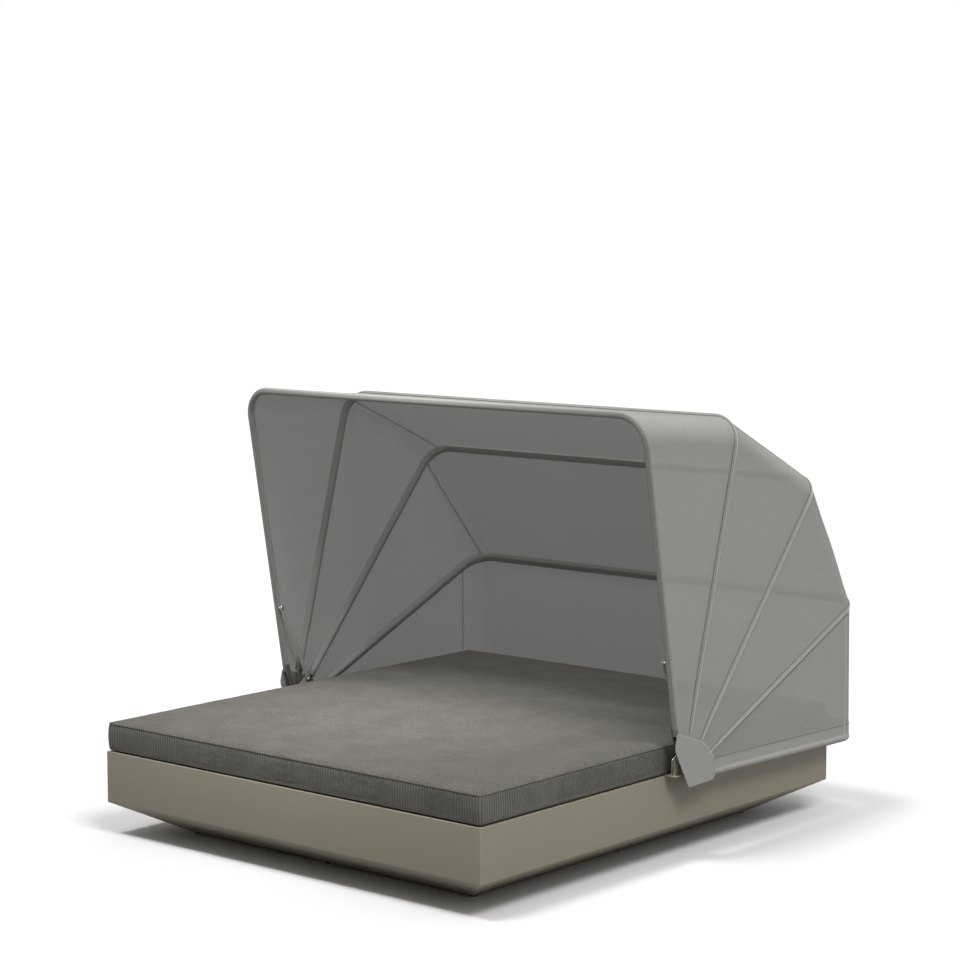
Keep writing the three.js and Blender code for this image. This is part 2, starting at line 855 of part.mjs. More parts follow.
// Braces: a perforated flat bar from the front bow's bolt to the bracket's lobe
const braceTop = frontBoltPlace();
const braceRun = new THREE.Vector3(0, braceFootY - braceTop.y, braceFootZ - braceTop.z);
const braceLength = braceRun.length();

function braceBar() {
  const half = braceWidth / 2;
  const shape = new THREE.Shape();
  shape.moveTo(0, -half);
  shape.lineTo(braceLength, -half);
  shape.absarc(braceLength, 0, half, -Math.PI / 2, Math.PI / 2, false);
  shape.lineTo(0, half);
  shape.absarc(0, 0, half, Math.PI / 2, (Math.PI * 3) / 2, false);
  for (const u of [0, braceLength]) {
    shape.holes.push(new THREE.Path(ringOf(braceBoltRadius + boltPlay, roundSides, u, 0)));
  }
  for (let i = 0; i < braceHoles; i += 1) {
    const u = braceFirstHole + i * braceHolePitch;
    shape.holes.push(new THREE.Path(ringOf(braceHoleRadius, boreSides, u, 0)));
  }
  const along = braceRun.clone().normalize();
  const outward = new THREE.Vector3(1, 0, 0);
  const across = new THREE.Vector3().crossVectors(outward, along);
  return extrusion(shape, braceThickness)
    .applyMatrix4(new THREE.Matrix4().makeBasis(along, across, outward))
    .translate(braceX, braceTop.y, braceTop.z);
}

pairOf("brace_bar", braceBar(), bowPaint);

// The domed head and the shank's start that both bolts of a brace share
const domeEnd = braceX - seatGap;
const domeStart = domeEnd - braceHeadHeight;
const dome = [
  [0, domeStart],
  [braceHeadRadius * Math.sin(Math.PI / 6), domeStart + braceHeadHeight * (1 - Math.cos(Math.PI / 6))],
  [braceHeadRadius * Math.sin(Math.PI / 3), domeStart + braceHeadHeight * (1 - Math.cos(Math.PI / 3))],
  [braceHeadRadius, domeEnd - braceHeadRim],
  [braceHeadRadius, domeEnd],
  [braceBoltRadius, domeEnd],
];
const braceOut = braceX + braceThickness + seatGap;
const upperBolt = [
  ...dome,
  [braceBoltRadius, braceOut],
  [braceCollarRadius, braceOut],
  [braceCollarRadius, legX - tubeRadius - seatGap],
  [braceBoltRadius, legX - tubeRadius - seatGap],
  [braceBoltRadius, legX - boltPlay],
  [0, legX - boltPlay],
];
const lowerBolt = [...dome, [braceBoltRadius, bracketX - braceTipGap], [0, bracketX - braceTipGap]];
pairOf("brace_upper_bolt", turnedAcross(upperBolt, braceTop.y, braceTop.z), stainless);
pairOf("brace_lower_bolt", turnedAcross(lowerBolt, braceFootY, braceFootZ), stainless);

// Canopy cloth
// Each panel lies on two bows; the first and last also wrap round their own bow as a sleeve.
const legStationShares = [1, 0.985, 0.94];
const cornerStations = Array.from({ length: cornerSteps + 1 }, (_, i) => {
  return cornerEndShare - (i / cornerSteps) * (cornerEndShare - cornerStartShare);
});
const barShares = [0.75, 0.5, 0.25];
const barStations = barShares.map((share) => share * cornerStartShare);
const rightStations = [...legStationShares, ...cornerStations, ...barStations];
const stations = [...rightStations, 0, ...rightStations.map((s) => -s).reverse()];
const wrapTurns = [Math.PI * 0.6, Math.PI * 0.4, Math.PI * 0.2];

const sleeveStart = tubeStart + lugOverlap + sleevePlay;

// Where the cloth lies on a bow, with its two ends at a distance from the fan line.
function clothAt(bow, station, start) {
  const found = bow.at(station, tubeRadius + clothOffset);
  if (Math.abs(station) === 1) {
    found.place = fanPoint(found.place.x, start, bow.out);
  }
  return found;
}

// One row of the sleeve: the cloth turned round the tube from its outward side to its free side.
function wrapRow(bow, free, turn) {
  const side = new THREE.Vector3(0, -bow.out.z, bow.out.y).multiplyScalar(free);
  return stations.map((station) => {
    const { place, outward } = clothAt(bow, station, sleeveStart);
    const centre = place.clone().addScaledVector(outward, -(tubeRadius + clothOffset));
    const normal = outward.clone().multiplyScalar(Math.cos(turn)).addScaledVector(side, Math.sin(turn));
    return { place: centre.addScaledVector(normal, tubeRadius + clothOffset), normal };
  });
}

// One row of the panel between two bows, drawn in a little where the cloth is free.
function spanRow(upper, lower, share) {
  const seam = share === 0 ? clothSeam : share === 1 ? -clothSeam : 0;
  return stations.map((station) => {
    const a = clothAt(upper, station, clothStart);
    const b = clothAt(lower, station, clothStart);
    const run = b.place.clone().sub(a.place);
    const way = run.clone().normalize();
    const normal = a.outward.clone().lerp(b.outward, share).normalize();
    const place = a.place.clone().addScaledVector(run, share).addScaledVector(way, seam);
    const free = Math.max(0, 1 - Math.abs(normal.x) * 2);
    place.addScaledVector(normal, -roofSag * 4 * share * (1 - share) * free);
    return { place, normal: share === 0 ? a.outward : share === 1 ? b.outward : normal };
  });
}

// A sheet with a thickness, from rows of places and normals.
function sheetOf(rows) {
  const across = rows[0].length;
  const inner = rows.flat().map((p) => p.place);
  const outer = rows.flat().map((p) => p.place.clone().addScaledVector(p.normal, clothThickness));
  const shift = inner.length;
  const order = [];
  const quad = (a, b, c, d) => order.push(a, b, c, a, c, d);
  for (let j = 0; j + 1 < rows.length; j += 1) {
    for (let i = 0; i + 1 < across; i += 1) {
      const a = j * across + i;
      quad(a, a + 1, a + 1 + across, a + across);
      quad(shift + a, shift + a + across, shift + a + across + 1, shift + a + 1);
    }
    const start = j * across;
    const end = start + across - 1;
    quad(start, start + across, shift + start + across, shift + start);
    quad(end + across, end, shift + end, shift + end + across);
  }
  const last = (rows.length - 1) * across;
  for (let i = 0; i + 1 < across; i += 1) {
    quad(i + 1, i, shift + i, shift + i + 1);
    quad(last + i, last + i + 1, shift + last + i + 1, shift + last + i);
  }
  const geometry = new THREE.BufferGeometry().setFromPoints([...inner, ...outer]);
  geometry.setIndex(order);
  return geometry;
}

const panelNames = ["front_panel", "upper_panel", "rear_panel", "bottom_panel"];
panelNames.forEach((name, i) => {
  const upper = bows[i];
  const lower = bows[i + 1];
  const rows = [];
  for (let row = 0; row <= roofRows; row += 1) rows.push(spanRow(upper, lower, row / roofRows));
  if (i === 0) {
    rows[0] = wrapRow(upper, 1, 0);
    rows.unshift(...wrapTurns.map((turn) => wrapRow(upper, 1, turn)));
  }
  if (i === panelNames.length - 1) {
    rows[rows.length - 1] = wrapRow(lower, -1, 0);
    rows.push(...wrapTurns.toReversed().map((turn) => wrapRow(lower, -1, turn)));
  }
  piece(name, sheetOf(rows), canopyCloth);
});

// Hub patches: a second layer of cloth over the hub, its corners in shares of its size from the pin
const patchX = legX + tubeRadius + clothOffset + clothThickness + patchPlay;
const patchShape = new THREE.Shape(
  patchCornerShares.map(([y, z]) => new THREE.Vector2(hubY + y * patchSize, hubZ + z * patchSize)),
);
pairOf("hub_patch", standing(extrusion(patchShape, patchThickness), patchX), patchCloth);

export default daybed;
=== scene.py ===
import math

import bmesh
import bpy
import numpy as np
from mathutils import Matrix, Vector
from mathutils.bvhtree import BVHTree


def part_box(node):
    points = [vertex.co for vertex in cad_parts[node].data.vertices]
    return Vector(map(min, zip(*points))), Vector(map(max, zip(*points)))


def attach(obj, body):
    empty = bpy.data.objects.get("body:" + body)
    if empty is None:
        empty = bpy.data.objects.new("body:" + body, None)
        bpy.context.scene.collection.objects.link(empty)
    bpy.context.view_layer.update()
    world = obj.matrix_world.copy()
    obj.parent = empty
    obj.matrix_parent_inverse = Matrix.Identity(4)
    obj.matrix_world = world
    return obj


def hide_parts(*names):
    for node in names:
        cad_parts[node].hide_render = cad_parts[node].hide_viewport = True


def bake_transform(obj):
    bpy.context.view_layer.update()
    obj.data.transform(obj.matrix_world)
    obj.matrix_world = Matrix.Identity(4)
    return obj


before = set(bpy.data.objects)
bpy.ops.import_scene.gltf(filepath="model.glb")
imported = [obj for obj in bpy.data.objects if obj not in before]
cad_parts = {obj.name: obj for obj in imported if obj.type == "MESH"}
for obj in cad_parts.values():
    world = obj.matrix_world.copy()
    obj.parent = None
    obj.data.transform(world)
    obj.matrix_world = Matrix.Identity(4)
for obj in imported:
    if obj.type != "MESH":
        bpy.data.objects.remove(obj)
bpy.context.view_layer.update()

# The studio: a plain pale floor under a soft sky that is brighter above, with two broad lamps, a
# pool of light on the mattress, and a camera above head height off the front right corner.
camera_place = (6.162, -7.1755, 2.3196)
camera_pitch = 83.7785
camera_yaw = 40.5163
camera_lens = 96.68
floor_half = 60.0
floor_seen = 1.0
floor_bounce = 0.3
sky_level = 0.08
sky_slope = (0.12, 0.18, 0.56)
lamps = {
    "key_lamp": ((-0.15, -0.34, 1.0), 12.0, 1.05),
    "side_lamp": ((0.68, -0.22, 1.0), 20.0, 1.22),
}
pool_aim = (-0.15, -0.1, 0.43)
pool_towards = (0.0, -0.53, 1.0)
pool_distance = 5.0
pool_power = 700.0
pool_cone = 24.0
pool_radius = 0.45


class Wire:
    """A socket of a node tree. Arithmetic on wires and numbers adds Math nodes."""

    def __init__(self, tree, socket=None):
        self.tree = tree
        self.socket = socket

    def node(self, kind, settings=(), inputs=(), output=0):
        """A new node of one kind, with its settings, the values or wires of its sockets, and the one
        output that is taken."""
        made = self.tree.nodes.new("ShaderNode" + kind)
        for name, value in dict(settings).items():
            setattr(made, name, value)
        for name, value in dict(inputs).items():
            if isinstance(value, Wire):
                self.tree.links.new(value.socket, made.inputs[name])
            else:
                made.inputs[name].default_value = value
        return Wire(self.tree, made.outputs[output])

    def on_object(self):
        """Places in the object's own metres."""
        return self.node("TexCoord", output="Object")

    def on_flat(self):
        """Places on the flat piece of cloth, in metres."""
        return self.node("UVMap", {"uv_map": "flat"})

    def math(self, operation, *values):
        inputs = dict(enumerate(values))
        return self.node("Math", {"operation": operation}, inputs)

    def __add__(self, other):
        return self.math("ADD", self, other)

    def __radd__(self, other):
        return self.math("ADD", other, self)

    def __sub__(self, other):
        return self.math("SUBTRACT", self, other)

    def __rsub__(self, other):
        return self.math("SUBTRACT", other, self)

    def __mul__(self, other):
        return self.math("MULTIPLY", self, other)

    def __rmul__(self, other):
        return self.math("MULTIPLY", other, self)

    def __abs__(self):
        return self.math("ABSOLUTE", self)

    def most(self, other):
        return self.math("MAXIMUM", self, other)

    def wave(self):
        return self.math("SINE", self)

    def waves_of(self, pitch):
        """The sine of a length in metres, with one wave to each pitch."""
        return (self * (2 * math.pi / pitch)).wave()

    def rise(self, low, high):
        """0 below low and 1 above high, with a smooth step between them."""
        inputs = {"Value": self, "From Min": low, "From Max": high}
        return self.node("MapRange", {"interpolation_type": "SMOOTHSTEP"}, inputs)

    def parts(self):
        split = self.node("SeparateXYZ", inputs={"Vector": self})
        return [Wire(self.tree, socket) for socket in split.socket.node.outputs]

    def stretched(self, x, y, z):
        """A place with each of its parts multiplied by its own number."""
        return self.node("VectorMath", {"operation": "MULTIPLY"}, {0: self, 1: (x, y, z)})

    def cloud(self, scale, detail=2.0):
        """Soft noise round a half, with a number of blobs to the metre."""
        return self.node("TexNoise", inputs={"Vector": self, "Scale": scale, "Detail": detail})

    def blend(self, low, high):
        """A colour between two, by this wire's value from 0 to 1."""
        inputs = {0: self, 6: low, 7: high}
        return self.node("Mix", {"data_type": "RGBA"}, inputs, output=2)

    def bump(self, distance, strength):
        inputs = {"Height": self, "Distance": distance, "Strength": strength}
        return self.node("Bump", inputs=inputs)


def shade(red, green=None, blue=None):
    """A colour, from three parts of light or from one for grey."""
    return (red, red, red, 1.0) if green is None else (red, green, blue, 1.0)


def toned(colour, by):
    """A colour with its light multiplied."""
    return shade(*[by * part for part in colour[:3]])


def finish_named(name, paint):
    """A material whose Principled sockets are what paint gives for the tree's first wire."""
    made = bpy.data.materials.new(name)
    made.use_nodes = True
    shader = made.node_tree.nodes["Principled BSDF"]
    for socket, value in paint(Wire(made.node_tree)).items():
        if isinstance(value, Wire):
            made.node_tree.links.new(value.socket, shader.inputs[socket])
        else:
            shader.inputs[socket].default_value = value
    return made


def seen_directly(wire):
    """1 for rays that the eye, a mirror or a clear piece sends, and 0 for light on its way round and
    for what is seen through the mesh cloth, which keeps its true, dimmer surroundings."""
    kinds = ("Is Camera Ray", "Is Glossy Ray", "Is Transmission Ray", "Transparent Depth")
    camera, glossy, clear, layers = (wire.node("LightPath", output=kind) for kind in kinds)
    return camera.most(glossy).most(clear) * (1.0 - layers).most(0.0)


def floor_paint(wire):
    tone = seen_directly(wire).blend(shade(floor_bounce), shade(floor_seen))
    return {"Base Color": tone, "Roughness": 0.9, "Specular IOR Level": 0.0}


def grid_faces(rows, columns, round_rows=False, round_columns=False):
    """The quads of a grid of points; a round direction joins its last line to its first."""
    row = np.arange(rows if round_rows else rows - 1)
    column = np.arange(columns if round_columns else columns - 1)
    row, column = np.meshgrid(row, column, indexing="ij")
    after, beside = (row + 1) % rows, (column + 1) % columns
    corners = [(row, column), (row, beside), (after, beside), (after, column)]
    return np.stack([r * columns + c for r, c in corners], axis=-1).reshape(-1, 4)


def capped_faces(rows, columns):
    """The quads of a tube of rings, with one flat face over each end."""
    faces = grid_faces(rows, columns, round_columns=True).tolist()
    faces.append(list(range(columns)))
    faces.append([(rows - 1) * columns + i for i in reversed(range(columns))])
    return faces


def surface(name, points, faces, material, closed=True, smooth=35.0):
    """A mesh object of points and faces. A closed one has its doubles merged and faces outwards."""
    mesh = bpy.data.meshes.new(name)
    mesh.from_pydata(np.asarray(points).reshape(-1, 3).tolist(), [], [list(face) for face in faces])
    if closed:
        work = bmesh.new()
        work.from_mesh(mesh)
        bmesh.ops.remove_doubles(work, verts=work.verts, dist=1e-6)
        bmesh.ops.recalc_face_normals(work, faces=work.faces)
        work.to_mesh(mesh)
        work.free()
    mesh.shade_smooth()
    mesh.set_sharp_from_angle(angle=math.radians(smooth))
    made = bpy.data.objects.new(name, mesh)
    made.data.materials.append(material)
    bpy.context.scene.collection.objects.link(made)
    return made


camera = bpy.data.objects.new("camera", bpy.data.cameras.new("camera"))
camera.location = camera_place
camera.rotation_euler = (math.radians(camera_pitch), 0.0, math.radians(camera_yaw))
camera.data.lens = camera_lens
bpy.context.scene.collection.objects.link(camera)
bpy.context.scene.camera = camera
bpy.context.scene.view_settings.view_transform = "Standard"

floor_corners = floor_half * np.array([(-1, -1, 0), (1, -1, 0), (1, 1, 0), (-1, 1, 0)])
floor = surface("floor", floor_corners, [(0, 1, 2, 3)], finish_named("pale_floor", floor_paint), False)

sky = bpy.data.worlds.new("studio")
sky.use_nodes = True
bpy.context.scene.world = sky
sky_wire = Wire(sky.node_tree)
across, along, upward = sky_wire.node("TexCoord", output="Generated").parts()
glow = (across * sky_slope[0] + along * sky_slope[1] + upward * sky_slope[2] + sky_level).most(0.0)
direct = seen_directly(sky_wire)
strength = direct + (1.0 - direct) * glow
background = sky.node_tree.nodes["Background"]
background.inputs["Color"].default_value = shade(1.0)
sky.node_tree.links.new(strength.socket, background.inputs["Strength"])

for lamp_name, (towards, spread, power) in lamps.items():
    lamp = bpy.data.objects.new(lamp_name, bpy.data.lights.new(lamp_name, "SUN"))
    lamp.data.angle = math.radians(spread)
    lamp.data.energy = power
    lamp.rotation_euler = Vector(towards).to_track_quat("Z", "Y").to_euler()
    bpy.context.scene.collection.objects.link(lamp)
pool = bpy.data.objects.new("pool_lamp", bpy.data.lights.new("pool_lamp", "SPOT"))
pool.data.energy = pool_power
pool.data.spot_size = math.radians(pool_cone)
pool.data.spot_blend = 1.0
pool.data.shadow_soft_size = pool_radius
pool.location = Vector(pool_aim) + Vector(pool_towards).normalized() * pool_distance
pool.rotation_euler = Vector(pool_towards).to_track_quat("Z", "Y").to_euler()
bpy.context.scene.collection.objects.link(pool)


# The base tub: one moulded shell of taupe plastic with an upright wall, a belly that tapers to a flat
# underside, and a lip that turns in and steps down to the ledge under the deck board.
tub_low, tub_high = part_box("base_tub")
half_width = tub_high.x
half_depth = tub_high.y
tub_top = tub_high.z
underside = tub_low.z
tub_wall = 0.008
wall_foot = 0.122
underside_inset = 0.218
lip_width = 0.05
ledge_width = 0.03
cap_inset = 0.2
ledge_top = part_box("deck_batten_left")[1].z
tub_corner = 0.004
stem_hole = 0.0043
foot_bolt_hole = 0.0033
drill_past = 0.01
short_drill_past = 0.002
turned_sides = 32
sharp_from = math.radians(35)
bevel_from = math.radians(40)
tub_colour = shade(0.350, 0.308, 0.244)
tub_worn = shade(0.43, 0.386, 0.326)


def filleted(corners, radii, steps=6):
    """A closed outline with arcs at its corners. An arc touches both sides at radius / tan(half the
    corner's angle) from the corner, and turns evenly from one touch point to the other."""
    corners = np.asarray(corners, float)
    radii = np.broadcast_to(np.asarray(radii, float), len(corners))[:, None]
    back = np.roll(corners, 1, axis=0) - corners
    ahead = np.roll(corners, -1, axis=0) - corners
    back /= np.linalg.norm(back, axis=1, keepdims=True)
    ahead /= np.linalg.norm(ahead, axis=1, keepdims=True)
    half = np.arccos(np.clip((back * ahead).sum(1), -1, 1))[:, None] / 2
    touch = radii / np.tan(half)
    middle = corners + (back + ahead) / (2 * np.cos(half)) * radii / np.sin(half)
    first = corners + back * touch - middle
    last = corners + ahead * touch - middle
    turn = math.pi - 2 * half
    share = np.linspace(0, 1, steps)[None, :]
    weights = np.sin((1 - share) * turn), np.sin(share * turn)
    arcs = (weights[0][..., None] * first[:, None] + weights[1][..., None] * last[:, None])
    return (middle[:, None] + arcs / np.sin(turn)[..., None]).reshape(-1, 2)


def rounded_ring(half_x, half_y, radius, steps):
    """The corner arcs of a rounded rectangle, anticlockwise from its right side: x, y and facing."""
    quarter = np.repeat(np.arange(4), steps)
    facing = (quarter + np.tile(np.linspace(0, 1, steps), 4)) * math.pi / 2
    x = np.array([1, -1, -1, 1])[quarter] * (half_x - radius) + radius * np.cos(facing)
    y = np.array([1, 1, -1, -1])[quarter] * (half_y - radius) + radius * np.sin(facing)
    return x, y, facing


def shaped(obj, kind, **settings):
    """Works one modifier into an object's mesh."""
    modifier = obj.modifiers.new(kind.lower(), kind)
    for name, value in settings.items():
        setattr(modifier, name, value)
    graph = bpy.context.evaluated_depsgraph_get()
    mesh = bpy.data.meshes.new_from_object(obj.evaluated_get(graph))
    obj.modifiers.clear()
    obj.data = mesh


def turned(name, profile, material, place, along="z"):
    """A round piece: [radius, height] points carried round an axis along z, or along x."""
    radius, height = np.asarray(profile, float).T
    turn = np.arange(turned_sides) * 2 * math.pi / turned_sides
    first = place[0] + radius[:, None] * np.cos(turn)
    second = place[1] + radius[:, None] * np.sin(turn)
    level = np.broadcast_to(height[:, None], first.shape)
    order = [first, second, level] if along == "z" else [level, first, second]
    faces = grid_faces(len(radius), turned_sides, round_columns=True)
    return surface(name, np.stack(order, axis=-1), faces, material)


def drilled(radius, low, high, material, place, along="z"):
    """A plain cylinder that cuts a hole, from low to high along its axis."""
    return turned("drill", [(0, low), (radius, low), (radius, high), (0, high)], material, place, along)


def cut_through(obj, cutters):
    """Takes each cutter out of an object, and then removes the cutters."""
    for cutter in cutters:
        shaped(obj, "BOOLEAN", operation="DIFFERENCE", solver="EXACT", object=cutter)
        bpy.data.objects.remove(cutter)
    obj.data.shade_smooth()
    obj.data.set_sharp_from_angle(angle=sharp_from)


def bevelled(obj, width):
    """Rounds an object's sharp edges."""
    shaped(obj, "BEVEL", width=width, segments=2, limit_method="ANGLE", angle_limit=bevel_from)
    obj.data.shade_smooth()
    obj.data.set_sharp_from_angle(angle=sharp_from)


def bevelled_copy(node_name, name, body, material, edge):
    """Puts a copy of a CAD plate, merged and with its edges rounded, in the place of the plate."""
    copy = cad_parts[node_name].data.copy()
    work = bmesh.new()
    work.from_mesh(copy)
    bmesh.ops.remove_doubles(work, verts=work.verts, dist=1e-6)
    bmesh.ops.dissolve_limit(work, angle_limit=math.radians(1.0), verts=work.verts, edges=work.edges)
    work.to_mesh(copy)
    work.free()
    copy.name = name
    copy.materials.clear()
    copy.materials.append(material)
    made = bpy.data.objects.new(name, copy)
    bpy.context.scene.collection.objects.link(made)
    bevelled(made, edge)
    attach(made, body)
    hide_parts(node_name)


def middle_of(node_name):
    """The x and y of the middle of a CAD node's box."""
    return tuple((low + high) / 2 for low, high in zip(*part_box(node_name)))[:2]


def tub_paint(wire):
    """Fine moulded grain, a faint cloudiness, and paler wear along the lip's outer edge."""
    place = wire.on_object()
    x, y, z = place.parts()
    past_x, past_y = abs(x), abs(y)
    rim = past_x.rise(half_width - 0.006, half_width).most(past_y.rise(half_depth - 0.006, half_depth))
    edge = rim * z.rise(tub_top - 0.005, tub_top - 0.001)
    corner = past_x.rise(half_width - 0.005, half_width - 0.001)
    corner = corner * past_y.rise(half_depth - 0.005, half_depth - 0.001)
    worn = edge.most(corner) * place.cloud(35.0, 3.0).rise(0.35, 0.6)
    cloudy = place.cloud(2.3, 3.0).rise(0.3, 0.7)
    tone = cloudy.blend(toned(tub_colour, 0.965), toned(tub_colour, 1.03))
    grain = place.cloud(420.0, 2.0)
    return {
        "Base Color": (worn * 0.8).blend(tone, tub_worn),
        "Roughness": 0.5 + grain * 0.16 + cloudy * 0.05,
        "Specular IOR Level": 0.35,
        "Normal": grain.bump(0.0004, 0.35),
    }


taper = math.hypot(wall_foot - underside, underside_inset)
inner_foot = underside_inset + tub_wall * (taper - underside_inset) / (wall_foot - underside)
inner_wall_foot = (
    underside + tub_wall + (inner_foot - tub_wall) * (wall_foot - underside) / underside_inset
)
tub_corners = np.array(
    [
        (inner_foot + cap_inset, underside, 0.001),
        (underside_inset, underside, 0.012),
        (0.0, wall_foot, 0.006),
        (0.0, tub_top, 0.003),
        (lip_width, tub_top, 0.0015),
        (lip_width, ledge_top, 0.0005),
        (lip_width + ledge_width, ledge_top, 0.001),
        (lip_width + ledge_width, ledge_top - tub_wall, 0.001),
        (lip_width - tub_wall, ledge_top - tub_wall, 0.001),
        (lip_width - tub_wall, tub_top - tub_wall, 0.001),
        (tub_wall, tub_top - tub_wall, 0.003),
        (tub_wall, inner_wall_foot, 0.012),
        (inner_foot, underside + tub_wall, 0.012),
        (inner_foot + cap_inset, underside + tub_wall, 0.001),
    ]
)
inset, level = filleted(tub_corners[:, :2], tub_corners[:, 2]).T
ring_x, ring_y, _ = rounded_ring(half_width - inset[:, None], half_depth - inset[:, None], tub_corner, 6)
tub_points = np.stack([ring_x, ring_y, np.broadcast_to(level[:, None], ring_x.shape)], axis=-1)
tub_finish = finish_named("moulded_taupe", tub_paint)
tub = surface("tub_shell", tub_points, capped_faces(*ring_x.shape), tub_finish)
stem_names = ["centre", "front", "back", "left", "right"]
stem_names += ["front_left", "front_right", "back_left", "back_right"]
stem_places = [middle_of(f"glide_{name}") for name in stem_names]
bolt_nodes = [f"foot_bolt_{end}_{side}" for end in ("front", "back") for side in ("left", "right")]
bolt_places = [middle_of(name) for name in bolt_nodes]
hole_from_to = {
    stem_hole: (stem_places, underside - drill_past, underside + tub_wall + drill_past),
    foot_bolt_hole: (bolt_places, tub_top - tub_wall - short_drill_past, tub_top + drill_past),
}
drills = [
    drilled(radius, low, high, tub_finish, place)
    for radius, (places, low, high) in hole_from_to.items()
    for place in places
]
cut_through(tub, drills)
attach(tub, "base")
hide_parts("base_tub")


# The glides: black rubber discs under the tub, each on a threaded stem; the nuts of the side ones
# are inside. Posts, beams and battens are mill-finished aluminium, and the deck is a dark board.
glide_radius = 0.018
glide_edge = 0.0015
stem_radius = 0.004
nut_radius = 0.008
seat_gap = 0.0003
tub_floor = underside + tub_wall
glide_top = underside - seat_gap


def rubber_paint(wire):
    place = wire.on_object()
    scuffed = place.cloud(160.0, 3.0).rise(0.4, 0.7)
    return {
        "Base Color": scuffed.blend(shade(0.018), shade(0.035, 0.034, 0.032)),
        "Roughness": 0.75 + scuffed * 0.15,
        "Normal": place.cloud(900.0).bump(0.0002, 0.4),
    }


def mill_paint(wire):
    """Bare extruded aluminium, with fine draw lines along the tube."""
    place = wire.on_object()
    lines = place.stretched(900.0, 30.0, 900.0).cloud(1.0, 3.0)
    return {
        "Base Color": lines.blend(shade(0.52, 0.53, 0.54), shade(0.64, 0.65, 0.66)),
        "Metallic": 1.0,
        "Roughness": 0.32 + lines * 0.2,
        "Normal": lines.bump(0.0001, 0.3),
    }


def board_paint(wire):
    """Dark compact board: fine mottle with a dull, slightly dusty face."""
    place = wire.on_object()
    dust = place.cloud(9.0, 4.0).rise(0.35, 0.75)
    return {
        "Base Color": (dust * 0.5).blend(shade(0.045, 0.043, 0.04), shade(0.09, 0.086, 0.08)),
        "Roughness": 0.6 + dust * 0.2,
        "Normal": place.cloud(500.0).bump(0.0002, 0.3),
    }


glide_finish = finish_named("black_rubber", rubber_paint)
mill_finish = finish_named("mill_aluminium", mill_paint)
board_finish = finish_named("dark_board", board_paint)
for stem_name, stem_place in zip(stem_names, stem_places):
    disc = [
        (0.0, 0.0),
        (glide_radius - glide_edge, 0.0),
        (glide_radius - glide_edge * 0.3, glide_edge * 0.3),
        (glide_radius, glide_edge),
        (glide_radius, glide_top - glide_edge * 0.4),
        (glide_radius - glide_edge * 0.4, glide_top),
        (stem_radius, glide_top),
    ]
    stem_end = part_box(f"glide_{stem_name}")[1].z
    if stem_name in ("front", "back", "left", "right"):
        stem_top = [
            (stem_radius, tub_floor + seat_gap),
            (nut_radius, tub_floor + seat_gap),
            (nut_radius, stem_end),
            (0.0, stem_end),
        ]
    else:
        stem_top = [(stem_radius, stem_end), (0.0, stem_end)]
    glide = turned(f"glide_foot_{stem_name}", disc + stem_top, glide_finish, stem_place)
    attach(glide, "base")
    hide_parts(f"glide_{stem_name}")

for node_name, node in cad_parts.items():
    if node_name.startswith(("post_", "cross_beam", "deck_batten", "deck_board")):
        node.data.materials.clear()
        node.data.materials.append(board_finish if node_name == "deck_board" else mill_finish)


# The mattress: a firm foam slab in a zipped cover of mottled outdoor weave. Its crowned top and its
# ribbed side band meet at a stitched seam, and the zip runs along the head end.
mattress_low, mattress_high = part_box("mattress_cover")
mattress_x = mattress_high.x
mattress_y = mattress_high.y
mattress_bottom = mattress_low.z
mattress_height = 0.1
mattress_corner = 0.018
band_stand = 0.003
crown = 0.006
crown_reach = 0.75
wave_height = 0.0011
wave_reach = 0.08
ripple_height = 0.0004
pucker_height = 0.0005
pucker_reach = 0.03
edge_drop = 0.0065
edge_reach = 0.013
top_zone = 0.004
level_slack = 0.001
lattice_step = 0.024
side_steps = 4
pressure = 4.0
settle_frames = 20
most_swell = 0.006
rib_pitch = 0.0117
rib_height = 0.0011
knit_pitch = 0.0085
thread_pitches = (0.0121, 0.0103)
band_bulge = 0.0048
band_seat = 0.0038
band_foot = 0.001
band_draw = 0.003
band_wobble = 0.0012
band_thickness = 0.0016
band_rows = 8
band_height = 0.0955
welt_cord = 0.0019
cord_spacing = 0.012
cord_sides = 8
cord_stand = 0.0002
top_cord_drop = 0.0042
bottom_cord_rise = 0.0022
stitch_pitch = 0.011
stitch_length = 0.0062
stitch_thickness = 0.0006
stitch_inset = 0.0065
stitch_tilt = 1.6
ray_start = 2.0
cover_spread = 0.004
cover_dark = shade(0.090, 0.085, 0.073)
cover_light = shade(0.208, 0.198, 0.171)
band_tone = shade(0.174, 0.166, 0.144)
stitch_tone = shade(0.030, 0.029, 0.027)


